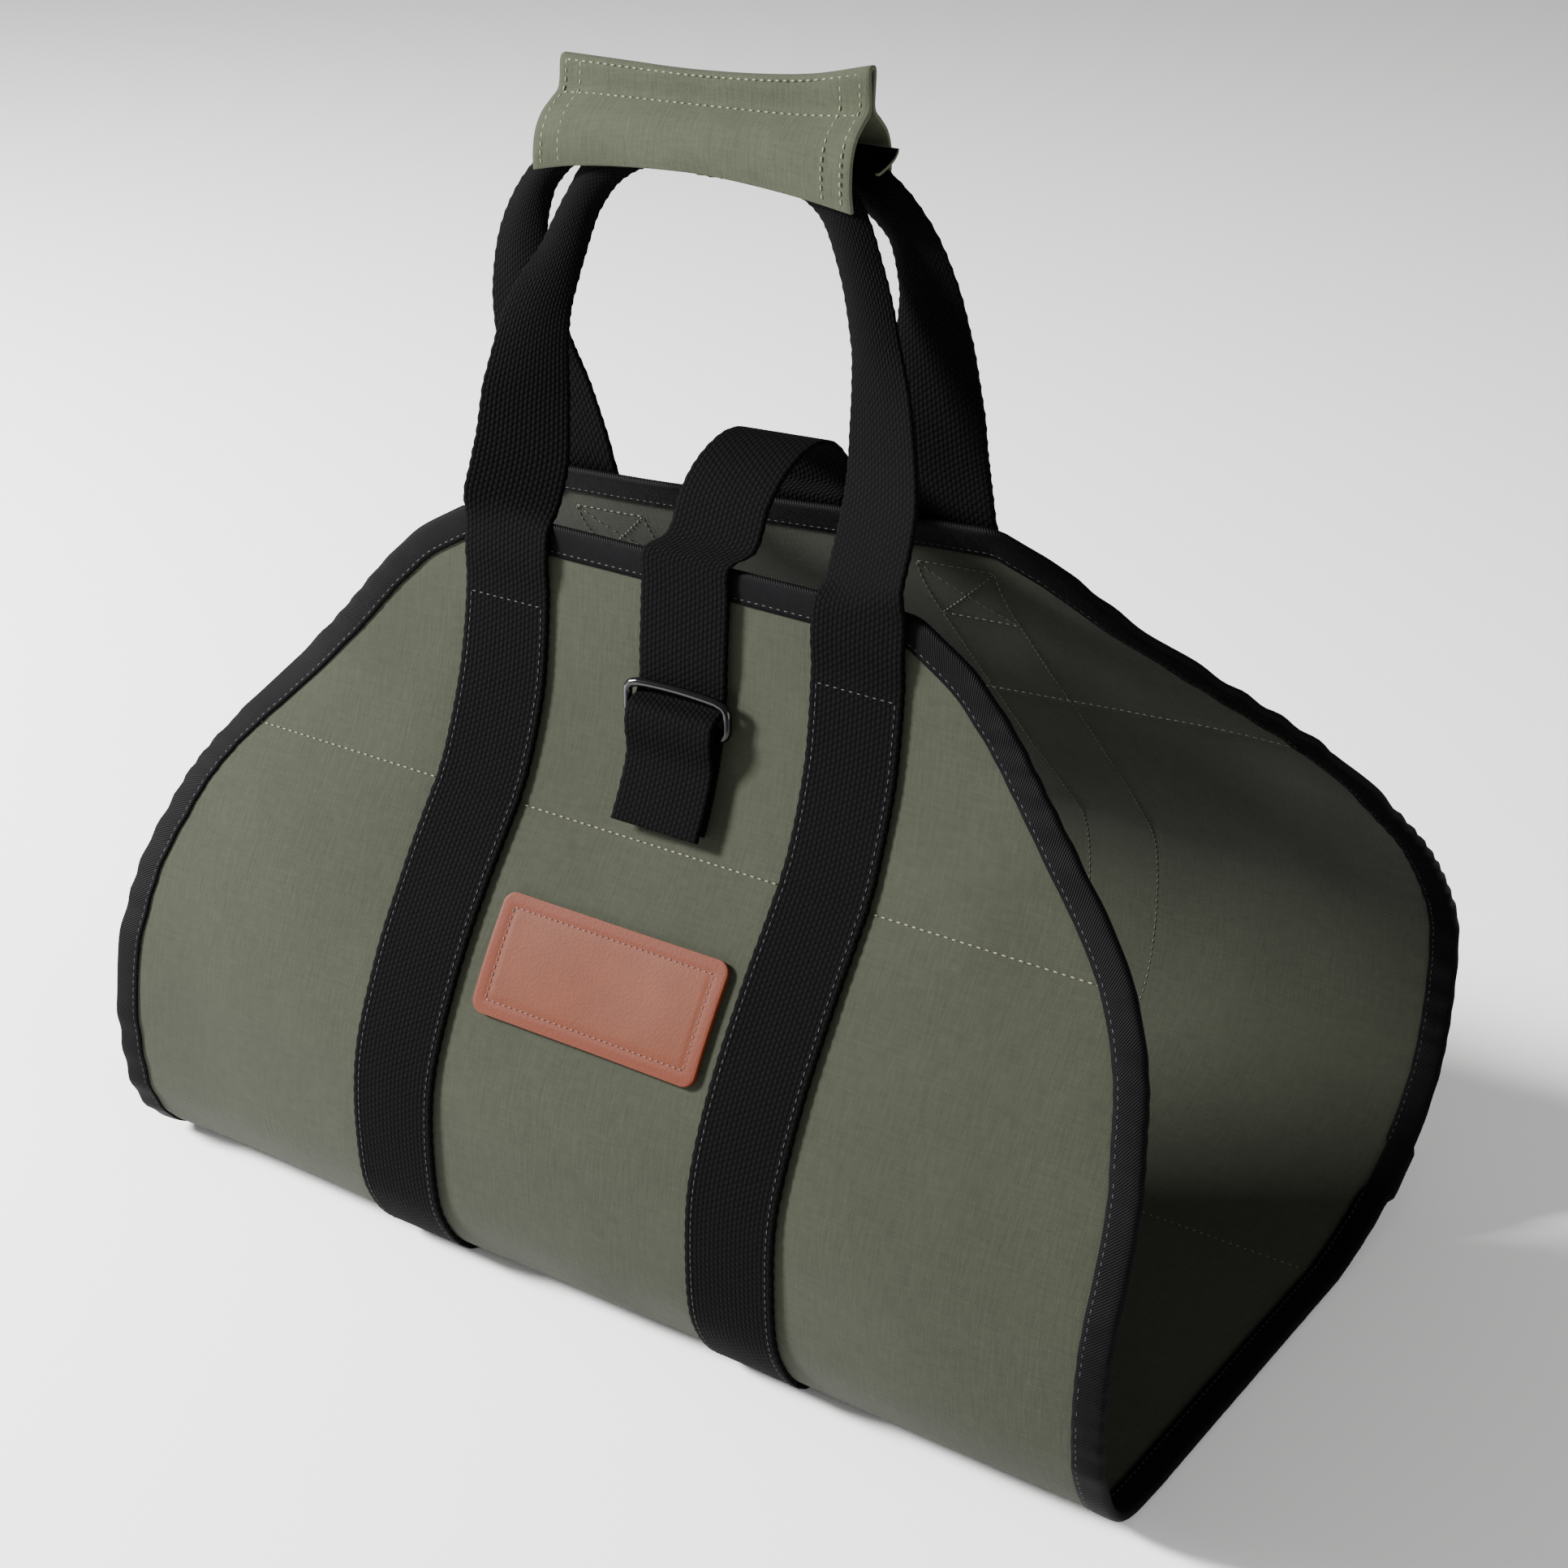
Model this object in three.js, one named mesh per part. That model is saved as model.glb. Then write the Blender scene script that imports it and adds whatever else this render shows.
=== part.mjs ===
// Canvas log carrier: one long sheet of canvas with taped edges, two webbing
// straps that run right round it and stand up as two handles, a sleeve that
// holds the handles together, and a closing strap with its ring.
// Millimetres. X runs along the logs, the front panel faces -Y, Z is up.
import * as THREE from 'three';

// Canvas sheet
const CANVAS_WIDTH = 454;
const BODY_DEPTH = 296;
const BODY_HEIGHT = 280;
const CANVAS_THICKNESS = 1.5;
const TAPER_DROP = 200;

// Edge tape
const TAPE_WIDTH = 10;
const TAPE_THICKNESS = 1;
const TAPE_GAP = 0.5;

// Webbing
const WEBBING_WIDTH = 38.5;
const WEBBING_THICKNESS = 2;
const STRAP_SPACING = 156.6;
const HANDLE_RISE = 150;
const SPLAY = 12;
const SPLAY_LENGTH = 40;
const RAMP_START = 3;
const RAMP_LENGTH = 16;

// Handle sleeve
const SLEEVE_LENGTH = 139;
const SLEEVE_HEIGHT = 44;
const SLEEVE_DEPTH = 26;
const SLEEVE_WALL = 2;
const SLEEVE_OFFSET = -26.5;
const FLAP_LENGTH = 44;
const FLAP_HEIGHT = 11;
const FLAP_REACH = 6.5;
const FLAP_TIP = 4;
const FLAP_SETBACK = 2;
const FLAP_LIFT = -7;
const HANDLE_PITCH = 7;

// Closing strap, its tab and its ring
const CLOSURE_OFFSET = 4;
const CLOSURE_SLANT = 10;
const CLOSURE_SEAT = 46;
const CLOSURE_ARCH = 27;
const TAIL_END = 99;
const TAB_END = 96;
const TAB_THICKNESS = 1.8;
const TAB_SHIFT = -0.7;
const TAB_FOLD = 4;
const TAB_RELEASE = 210;
const RING_WIDTH = 48;
const RING_HEIGHT = 17;
const RING_CORNER = 3.5;
const RING_CROWN = 1.2;
const RING_WIRE = 3.5;
const RING_DROP = 46;
const LOWER_BAR = RING_DROP + RING_HEIGHT - RING_WIRE;

// Leather patch
const PATCH_WIDTH = 102;
const PATCH_HEIGHT = 46.6;
const PATCH_THICKNESS = 2;
const PATCH_CORNER = 5;
const PATCH_DROP = 136;
const PATCH_OFFSET = 1.5;

// Fit and fineness
const GAP = 0.3;
const ROW_STEP = 12;
const BODY_COLUMNS = 14;
const LEG_STEP = 9;
const EDGE_STEP = 22;
const ROW_MARGIN = 0.5;
const SLOPE_REACH = 2;
const MITRE_LIMIT = 0.5;
const SLEEVE_STEP = 0.1;
const CLOSURE_STEP = 0.1;
const RING_POINTS = 36;
const RING_SIDES = 8;
const FOLD_STEP = Math.PI / 6;
const PATCH_COLUMNS = 10;
const PATCH_CORNER_STEP = Math.PI / 8;

const WEBBING_LIFT = WEBBING_THICKNESS + GAP;
const EDGE_CLEARANCE = TAPE_GAP + TAPE_THICKNESS + 2 * GAP;

// Section of the carrier seen from its end, from the front top edge round to
// the back one. y is a share of BODY_DEPTH, z of BODY_HEIGHT, lean is a
// sideways shift as a share of CANVAS_WIDTH, tilt is rise per length along X.
const SECTION = [
  { at: 'front top edge', y: -0.201, z: 1.000, lean: -0.018, tilt: 0 },
  { at: 'front upper', y: -0.245, z: 0.800, lean: -0.006, tilt: 0 },
  { at: 'front seam', y: -0.296, z: 0.678, lean: 0, tilt: 0 },
  { at: 'front shoulder', y: -0.378, z: 0.546, lean: 0, tilt: 0 },
  { at: 'front waist', y: -0.449, z: 0.421, lean: 0, tilt: 0 },
  { at: 'front wall high', y: -0.494, z: 0.300, lean: 0, tilt: 0 },
  { at: 'front wall', y: -0.500, z: 0.190, lean: 0, tilt: 0 },
  { at: 'front foot', y: -0.485, z: 0.090, lean: 0, tilt: 0 },
  { at: 'front corner', y: -0.432, z: 0.016, lean: 0, tilt: 0 },
  { at: 'floor front', y: -0.345, z: 0, lean: 0, tilt: 0 },
  { at: 'floor', y: -0.230, z: 0, lean: 0, tilt: 0 },
  { at: 'floor middle', y: -0.080, z: 0, lean: 0, tilt: 0 },
  { at: 'floor', y: 0.070, z: 0, lean: 0, tilt: 0 },
  { at: 'floor back', y: 0.176, z: 0, lean: 0, tilt: 0 },
  { at: 'back corner', y: 0.328, z: 0.040, lean: 0, tilt: 0 },
  { at: 'back foot', y: 0.422, z: 0.100, lean: 0, tilt: 0 },
  { at: 'back wall low', y: 0.482, z: 0.180, lean: 0, tilt: 0 },
  { at: 'back wall', y: 0.500, z: 0.293, lean: 0, tilt: 0 },
  { at: 'back waist', y: 0.478, z: 0.425, lean: 0, tilt: 0 },
  { at: 'back shoulder', y: 0.412, z: 0.514, lean: 0, tilt: 0 },
  { at: 'back slope', y: 0.267, z: 0.664, lean: 0, tilt: 0.01 },
  { at: 'back slope high', y: 0.079, z: 0.864, lean: -0.004, tilt: 0.04 },
  { at: 'back upper', y: 0.008, z: 0.950, lean: -0.008, tilt: 0.06 },
  { at: 'back top edge', y: -0.034, z: 1.040, lean: -0.011, tilt: 0.075 },
];

// Half width of the sheet near its two top edges. drop is the distance down
// from the edge as a share of TAPER_DROP, half is a share of the half width.
const TAPER = [
  { drop: 0, half: 0.440 },
  { drop: 0.02, half: 0.470 },
  { drop: 0.07, half: 0.543 },
  { drop: 0.11, half: 0.580 },
  { drop: 0.15, half: 0.615 },
  { drop: 0.25, half: 0.687 },
  { drop: 0.35, half: 0.761 },
  { drop: 0.425, half: 0.818 },
  { drop: 0.525, half: 0.884 },
  { drop: 0.65, half: 0.941 },
  { drop: 0.75, half: 0.967 },
  { drop: 0.85, half: 0.989 },
  { drop: 1, half: 1 },
];

// Swells and hollows of the sheet. x is a share of the half width, run a share
// of the sheet's length, out a share of BODY_DEPTH, wide and long their reach.
const SWELLS = [
  { x: -0.66, run: 0.14, out: 0.016, wide: 0.30, long: 0.08 },
  { x: 0.66, run: 0.14, out: 0.014, wide: 0.30, long: 0.08 },
  { x: 0, run: 0.07, out: -0.010, wide: 0.32, long: 0.07 },
  { x: -0.80, run: 0.28, out: -0.010, wide: 0.30, long: 0.07 },
  { x: 0.78, run: 0.26, out: 0.010, wide: 0.30, long: 0.08 },
  { x: 0.72, run: 0.86, out: 0.016, wide: 0.32, long: 0.08 },
  { x: -0.70, run: 0.85, out: 0.016, wide: 0.32, long: 0.08 },
  { x: 0, run: 0.84, out: -0.010, wide: 0.34, long: 0.10 },
];

// Standing parts of the two webbing loops between the panel and the sleeve.
// x is a share of half STRAP_SPACING, y of BODY_DEPTH, z of HANDLE_RISE above
// the front top edge, width of WEBBING_WIDTH, turn is in degrees.
const FRONT_LOOP = [
  { x: -1.12, y: -0.174, z: 0.150, width: 1.00, turn: 20 },
  { x: -1.15, y: -0.150, z: 0.310, width: 0.90, turn: 20 },
  { x: -1.14, y: -0.127, z: 0.500, width: 0.68, turn: 12 },
  { x: -1.07, y: -0.106, z: 0.630, width: 0.48, turn: 6 },
  { x: -0.98, y: -0.090, z: 0.770, width: 0.38, turn: 2 },
  { x: -0.86, y: -0.082, z: 0.865, width: 0.40, turn: 0 },
  { x: -0.66, y: -0.078, z: 0.930, width: 0.46, turn: 0 },
  { x: -0.30, y: -0.076, z: 0.937, width: 0.50, turn: 0 },
  { x: 0.00, y: -0.076, z: 0.937, width: 0.50, turn: 0 },
  { x: 0.24, y: -0.078, z: 0.919, width: 0.48, turn: 0 },
  { x: 0.42, y: -0.084, z: 0.860, width: 0.46, turn: 0 },
  { x: 0.58, y: -0.096, z: 0.720, width: 0.47, turn: 0 },
  { x: 0.70, y: -0.112, z: 0.560, width: 0.56, turn: 6 },
  { x: 0.80, y: -0.134, z: 0.390, width: 0.84, turn: 14 },
  { x: 0.87, y: -0.160, z: 0.220, width: 1.00, turn: 16 },
];
const BACK_LOOP = [
  { x: 0.90, y: -0.030, z: 0.250, width: 1.00, turn: 0 },
  { x: 0.89, y: -0.040, z: 0.390, width: 0.96, turn: 0 },
  { x: 0.86, y: -0.046, z: 0.560, width: 0.80, turn: 0 },
  { x: 0.82, y: -0.050, z: 0.690, width: 0.60, turn: 0 },
  { x: 0.70, y: -0.052, z: 0.820, width: 0.44, turn: 0 },
  { x: 0.46, y: -0.052, z: 0.910, width: 0.44, turn: 0 },
  { x: 0.15, y: -0.052, z: 0.931, width: 0.50, turn: 0 },
  { x: -0.30, y: -0.052, z: 0.931, width: 0.50, turn: 0 },
  { x: -0.80, y: -0.052, z: 0.940, width: 0.44, turn: 0 },
  { x: -1.14, y: -0.052, z: 0.890, width: 0.34, turn: 0 },
  { x: -1.34, y: -0.050, z: 0.790, width: 0.32, turn: 0 },
  { x: -1.47, y: -0.046, z: 0.640, width: 0.56, turn: 0 },
  { x: -1.49, y: -0.040, z: 0.480, width: 0.80, turn: 0 },
  { x: -1.44, y: -0.034, z: 0.340, width: 0.96, turn: 0 },
  { x: -1.35, y: -0.028, z: 0.220, width: 1.00, turn: 0 },
];

// Handle sleeve along its length. x is a share of SLEEVE_LENGTH, top and
// bottom of SLEEVE_HEIGHT from its axis, depth of SLEEVE_DEPTH, and lean is its
// slant along X per height.
const SLEEVE = [
  { x: -0.50, top: 0.37, bottom: -0.57, depth: 1.00, lean: 0.16 },
  { x: -0.36, top: 0.37, bottom: -0.48, depth: 0.96, lean: 0.08 },
  { x: 0.00, top: 0.38, bottom: -0.39, depth: 0.92, lean: 0 },
  { x: 0.30, top: 0.46, bottom: -0.43, depth: 0.96, lean: 0 },
  { x: 0.50, top: 0.60, bottom: -0.50, depth: 1.04, lean: 0 },
];

// Its section, from the open foot to the ridge where both walls are sewn
// together. reach is a share of the hollow's half depth outside the wall, up of
// the height, and inner and innerUp are the same for the hollow.
const SLEEVE_SECTION = [
  { reach: 0.84, up: 0, inner: 0.84, innerUp: 0 },
  { reach: 1, up: 0.16, inner: 1, innerUp: 0.16 },
  { reach: 1, up: 0.36, inner: 1, innerUp: 0.35 },
  { reach: 0.75, up: 0.52, inner: 0.72, innerUp: 0.50 },
  { reach: 0.30, up: 0.63, inner: 0.26, innerUp: 0.60 },
  { reach: 0, up: 0.70, inner: 0.10, innerUp: 0.635 },
  { reach: 0, up: 1, inner: 0.03, innerUp: 0.65 },
];

// Closing strap down the front panel. run is measured from the line that from
// names, and on is what the strap lies on there.
const CLOSURE_LAY = [
  { from: 'edge', run: -EDGE_CLEARANCE, on: 'tape' },
  { from: 'edge', run: TAPE_WIDTH, on: 'tape' },
  { from: 'ring', run: -14, on: 'tape' },
  { from: 'ring', run: 3.5, on: 'tape' },
  { from: 'bar', run: -4, on: 'eye' },
  { from: 'bar', run: 3, on: 'eye' },
  { from: 'bar', run: 13, on: 'tab' },
  { from: 'end', run: -12, on: 'tab' },
  { from: 'end', run: 0, on: 'tab' },
];

// Its arch over the mouth. slant is a share of CLOSURE_SLANT, forward of the
// way from the back edge to the front one, up of CLOSURE_ARCH above that edge.
const CLOSURE_CURVE = [
  { edge: 'back', slant: 1, forward: -0.01, up: 0.25 },
  { edge: 'back', slant: 0.95, forward: 0.08, up: 0.66 },
  { edge: 'back', slant: 0.8, forward: 0.24, up: 0.96 },
  { edge: 'back', slant: 0.6, forward: 0.42, up: 0.98 },
  { edge: 'back', slant: 0.4, forward: 0.66, up: 0.75 },
  { edge: 'back', slant: 0.25, forward: 0.83, up: 0.38 },
  { edge: 'front', slant: 0.1, forward: 0.96, up: 0.28 },
];

const COLOURS = {
  canvas: { color: 0x6f7562, roughness: 0.9, metalness: 0 },
  tape: { color: 0x2a2a2d, roughness: 0.75, metalness: 0 },
  webbing: { color: 0x1d1d1e, roughness: 0.85, metalness: 0 },
  sleeve: { color: 0x82826f, roughness: 0.9, metalness: 0 },
  leather: { color: 0xb07452, roughness: 0.55, metalness: 0 },
  enamel: { color: 0x0c0c0d, roughness: 0.15, metalness: 0.4 },
};

// Value of a column of a table at a place along another column
function lookUp(table, key, place, column) {
  const last = table.length - 1;
  if (place <= table[0][key]) return table[0][column];
  if (place >= table[last][key]) return table[last][column];
  const next = table.findIndex((row) => row[key] > place);
  const from = table[next - 1];
  const to = table[next];
  const share = (place - from[key]) / (to[key] - from[key]);
  return from[column] + share * (to[column] - from[column]);
}

function easeBetween(from, to, share) {
  const held = Math.min(1, Math.max(0, share));
  return from + (to - from) * held * held * (3 - 2 * held);
}

// Outer face of the canvas in section, followed by its length
const sectionCurve = new THREE.CatmullRomCurve3(
  SECTION.map((row) => new THREE.Vector3(0, row.y * BODY_DEPTH, row.z * BODY_HEIGHT)),
  false,
  'centripetal',
);
sectionCurve.arcLengthDivisions = 1200;
const SHEET_LENGTH = sectionCurve.getLength();
const rowRuns = SECTION.map((row, index) => {
  const lengths = sectionCurve.getLengths();
  const run = lengths[Math.round((index / (SECTION.length - 1)) * (lengths.length - 1))];
  return { ...row, run };
});

function sectionPoint(run) {
  const held = Math.min(SHEET_LENGTH, Math.max(0, run));
  const share = held / SHEET_LENGTH;
  const point = sectionCurve.getPointAt(share);
  if (run !== held) point.addScaledVector(sectionCurve.getTangentAt(share), run - held);
  point.z = Math.max(0, point.z) + WEBBING_LIFT;
  return point;
}

function swell(x, run) {
  return SWELLS.reduce((sum, row) => {
    const across = (x / (CANVAS_WIDTH / 2) - row.x) / row.wide;
    const along = (run / SHEET_LENGTH - row.run) / row.long;
    return sum + row.out * BODY_DEPTH * Math.exp(-across * across - along * along);
  }, 0);
}

function outward(run) {
  const ahead = sectionPoint(run + SLOPE_REACH);
  const behind = sectionPoint(run - SLOPE_REACH);
  const along = ahead.sub(behind);
  return new THREE.Vector3(0, along.z, -along.y).normalize();
}

// Runs at which the sheet is creased by its facets. Every piece that lies on
// the sheet has a station at each of them, so that its facets match.
const tapered = TAPER.map((row) => row.drop * TAPER_DROP);
const taperRuns = tapered.slice(1).flatMap((drop, index) => (
  evenRuns(tapered[index], drop, ROW_STEP).slice(0, -1)
));
const SHEET_RUNS = [
  ...taperRuns,
  ...evenRuns(TAPER_DROP, SHEET_LENGTH - TAPER_DROP, ROW_STEP),
  ...[...taperRuns].reverse().map((drop) => SHEET_LENGTH - drop),
];

function atRow(x, run, rise) {
  const point = sectionPoint(run);
  point.addScaledVector(outward(run), rise + swell(x, run));
  point.x = x + lookUp(rowRuns, 'run', run, 'lean') * CANVAS_WIDTH;
  point.z += lookUp(rowRuns, 'run', run, 'tilt') * x;
  return point;
}

// Place on or off the sheet: x across, run along it from the front top edge,
// rise outwards from its outer face
function onSheet(x, run, rise) {
  const next = SHEET_RUNS.findIndex((row) => row > run);
  if (next <= 0) return atRow(x, run, rise);
  const from = SHEET_RUNS[next - 1];
  const to = SHEET_RUNS[next];
  return atRow(x, from, rise).lerp(atRow(x, to, rise), (run - from) / (to - from));
}

// Stations from one run to another, with every sheet row between them
function runsBetween(from, to) {
  const low = Math.min(from, to) + ROW_MARGIN;
  const high = Math.max(from, to) - ROW_MARGIN;
  const between = SHEET_RUNS.filter((run) => run > low && run < high);
  if (to < from) between.reverse();
  return [from, ...between, to];
}

function halfWidth(run) {
  const drop = Math.min(run, SHEET_LENGTH - run) / TAPER_DROP;
  return lookUp(TAPER, 'drop', Math.max(0, drop), 'half') * (CANVAS_WIDTH / 2);
}

// Faces between each ring of points and the next
function wallFaces(rings, spans) {
  const size = rings[0].length;
  const faces = [];
  for (let ring = 0; ring < spans; ring += 1) {
    const next = (ring + 1) % rings.length;
    for (let side = 0; side < size; side += 1) {
      const beside = (side + 1) % size;
      const a = ring * size + side;
      const b = ring * size + beside;
      const c = next * size + beside;
      const d = next * size + side;
      faces.push(a, b, c, a, c, d);
    }
  }
  return faces;
}

// Body from rings of points and the faces between them, turned to face outwards
function bodyFrom(rings, faces) {
  const positions = rings.flat().flatMap((point) => [point.x, point.y, point.z]);
  const geometry = new THREE.BufferGeometry();
  geometry.setAttribute('position', new THREE.Float32BufferAttribute(positions, 3));
  geometry.setIndex(faces);
  if (signedVolume(geometry) < 0) geometry.setIndex([...faces].reverse());
  geometry.computeVertexNormals();
  return geometry;
}

// Closed body through rings of points, joined on itself
function joinedBody(rings) {
  return bodyFrom(rings, wallFaces(rings, rings.length));
}

// Closed body of a two-faced strip whose end caps are quads between the faces
function stripBody(rings) {
  const size = rings[0].length;
  const end = (rings.length - 1) * size;
  const faces = wallFaces(rings, rings.length - 1);
  for (let column = 0; column < size / 2 - 1; column += 1) {
    const under = column;
    const over = size - 1 - column;
    faces.push(under, over, over - 1, under, over - 1, under + 1);
    faces.push(end + under, end + over - 1, end + over, end + under, end + under + 1, end + over - 1);
  }
  return bodyFrom(rings, faces);
}

function signedVolume(geometry) {
  const place = geometry.attributes.position;
  const corners = geometry.index.array;
  const [a, b, c] = [new THREE.Vector3(), new THREE.Vector3(), new THREE.Vector3()];
  let sum = 0;
  for (let face = 0; face < corners.length; face += 3) {
    a.fromBufferAttribute(place, corners[face]);
    b.fromBufferAttribute(place, corners[face + 1]);
    c.fromBufferAttribute(place, corners[face + 2]);
    sum += a.dot(b.cross(c));
  }
  return sum;
}

function evenRuns(from, to, step) {
  const count = Math.max(1, Math.round(Math.abs(to - from) / step));
  return Array.from({ length: count + 1 }, (_, index) => from + ((to - from) * index) / count);
}

// A flat piece that lies on the sheet: a grid of columns and runs with two
// faces, each row as wide as its own half width
function layOnSheet(runs, columns, half, middle, inside, outside) {
  const rings = runs.map((run) => {
    const reach = half(run);
    const lower = [];
    const upper = [];
    for (let column = 0; column <= columns; column += 1) {
      const x = middle + reach * ((2 * column) / columns - 1);
      lower.push(onSheet(x, run, inside));
      upper.unshift(onSheet(x, run, outside));
    }
    return [...lower, ...upper];
  });
  return stripBody(rings);
}

// Canvas sheet
function canvasBody() {
  return layOnSheet(SHEET_RUNS, BODY_COLUMNS, halfWidth, 0, -CANVAS_THICKNESS, 0);
}

// Way round the edge of the sheet as places (x, run), clockwise from the
// left end of the front top edge
function edgeRoute() {
  const topHalf = halfWidth(0);
  const across = evenRuns(-topHalf, topHalf, EDGE_STEP).slice(1, -1);
  return [
    ...across.map((x) => new THREE.Vector2(x, 0)),
    ...SHEET_RUNS.map((run) => new THREE.Vector2(halfWidth(run), run)),
    ...[...across].reverse().map((x) => new THREE.Vector2(x, SHEET_LENGTH)),
    ...[...SHEET_RUNS].reverse().map((run) => new THREE.Vector2(-halfWidth(run), run)),
  ];
}

// Tape folded over the edge all the way round
function edgeBinding() {
  const route = edgeRoute();
  const inner = TAPE_GAP;
  const outer = TAPE_GAP + TAPE_THICKNESS;
  const fold = [
    [-TAPE_WIDTH, outer], [outer, outer], [outer, -CANVAS_THICKNESS - outer],
    [-TAPE_WIDTH, -CANVAS_THICKNESS - outer], [-TAPE_WIDTH, -CANVAS_THICKNESS - inner],
    [inner, -CANVAS_THICKNESS - inner], [inner, inner], [-TAPE_WIDTH, inner],
  ];
  const rings = route.map((place, index) => {
    const before = route[(index + route.length - 1) % route.length];
    const after = route[(index + 1) % route.length];
    const back = new THREE.Vector2().subVectors(place, before).normalize();
    const ahead = new THREE.Vector2().subVectors(after, place).normalize();
    const along = back.clone().add(ahead).normalize();
    const out = new THREE.Vector2(along.y, -along.x);
    const stretch = 1 / Math.max(MITRE_LIMIT, along.dot(ahead));
    return fold.map(([reach, rise]) => {
      const spot = place.clone().addScaledVector(out, reach * stretch);
      return onSheet(spot.x, spot.y, rise);
    });
  });
  return joinedBody(rings);
}

// Webbing from stations of a middle point, a direction across and one outwards
function ribbonBody(stations, thickness) {
  const rings = stations.map(({ middle, across, out, width }) => {
    const corner = (side, face) => middle.clone()
      .addScaledVector(across, (side * width) / 2)
      .addScaledVector(out, (face * thickness) / 2);
    return [corner(-1, -1), corner(1, -1), corner(1, 1), corner(-1, 1)];
  });
  return stripBody(rings);
}

// Rise of a strap's middle over the sheet: on the canvas, and over the tape
// near the top edges
function strapRise(run) {
  const fromEdge = Math.min(run, SHEET_LENGTH - run);
  const low = GAP + WEBBING_THICKNESS / 2;
  const high = low + TAPE_GAP + TAPE_THICKNESS;
  return easeBetween(high, low, (fromEdge - TAPE_WIDTH - RAMP_START) / RAMP_LENGTH);
}

// A strap is flat across, so it rides on the highest line of the sheet
function overSheet(x, run, rise) {
  const edge = WEBBING_WIDTH / 2;
  const highest = Math.max(...[-edge, 0, edge].map((reach) => swell(x + reach, run)));
  return onSheet(x, run, rise + highest - swell(x, run));
}

// Stations of a strap sewn down along the sheet. splay is how far it fans out
// sideways by the time it reaches a top edge.
function sewnStations(x, runs, side, splay = 0) {
  const edge = WEBBING_WIDTH / 2;
  return runs.map((run) => {
    const fromEdge = Math.min(run, SHEET_LENGTH - run);
    const place = x + easeBetween(splay, 0, fromEdge / SPLAY_LENGTH);
    const across = onSheet(place + edge, run, 0).sub(onSheet(place - edge, run, 0)).setY(0);
    return {
      middle: overSheet(place, run, strapRise(run)),
      across: across.normalize().multiplyScalar(side),
      out: outward(run),
      width: WEBBING_WIDTH,
    };
  });
}

// Free part of a loop: a smooth path through the rows of its table
function standingStations(table, facing, before, after) {
  const top = sectionPoint(0).z;
  const points = table.map((row) => new THREE.Vector3(
    (row.x * STRAP_SPACING) / 2,
    row.y * BODY_DEPTH,
    top + row.z * HANDLE_RISE,
  ));
  const path = new THREE.CatmullRomCurve3([before, ...points, after], false, 'centripetal');
  const rows = [table[0], ...table, table[table.length - 1]];
  const count = Math.round(path.getLength() / LEG_STEP);
  return Array.from({ length: count - 1 }, (_, index) => {
    const share = path.getUtoTmapping((index + 1) / count, null);
    const place = share * (rows.length - 1);
    const low = Math.min(rows.length - 2, Math.floor(place));
    const part = place - low;
    const blend = (key) => rows[low][key] + part * (rows[low + 1][key] - rows[low][key]);
    const along = path.getTangent(share);
    const out = new THREE.Vector3(0, facing, 0).addScaledVector(along, -along.y * facing).normalize();
    out.applyAxisAngle(along, THREE.MathUtils.degToRad(blend('turn')));
    return {
      middle: path.getPoint(share),
      across: new THREE.Vector3().crossVectors(along, out).normalize(),
      out,
      width: blend('width') * WEBBING_WIDTH,
    };
  });
}

// One loop of webbing: from under the carrier up one strap, round the handle
// and down the other strap, which may fan out
function webbingLoop(table, facing, meeting, edge, splay) {
  const x = (Math.sign(table[0].x) * STRAP_SPACING) / 2;
  const up = sewnStations(x, runsBetween(meeting, edge), -facing);
  const down = sewnStations(-x, runsBetween(edge, meeting), facing, splay);
  const standing = standingStations(table, facing, up[up.length - 1].middle, down[0].middle);
  return ribbonBody([...up, ...standing, ...down], WEBBING_THICKNESS);
}

// Middle of the handles in the sleeve
function sleeveAxis() {
  const top = sectionPoint(0).z;
  const frontY = FRONT_LOOP[7].y * BODY_DEPTH;
  return { y: frontY + HANDLE_PITCH / 2, z: top + HANDLE_RISE };
}

// Sleeve over both handles, open below
function handleSleeve() {
  const axis = sleeveAxis();
  const rings = evenRuns(-0.5, 0.5, SLEEVE_STEP).map((share) => {
    const at = (key) => lookUp(SLEEVE, 'x', share, key);
    const bottom = at('bottom') * SLEEVE_HEIGHT;
    const height = at('top') * SLEEVE_HEIGHT - bottom;
    const hollow = (at('depth') * SLEEVE_DEPTH) / 2 - SLEEVE_WALL;
    const outline = (reach, up, wall) => {
      const side = (sign) => SLEEVE_SECTION.map((row) => new THREE.Vector3(
        SLEEVE_OFFSET + share * SLEEVE_LENGTH + at('lean') * row[up] * height,
        axis.y + sign * (wall + row[reach] * hollow),
        axis.z + bottom + row[up] * height,
      ));
      return [...side(-1), ...side(1).reverse()];
    };
    return [...outline('reach', 'up', SLEEVE_WALL), ...outline('inner', 'innerUp', 0).reverse()];
  });
  return stripBody(rings);
}

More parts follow.
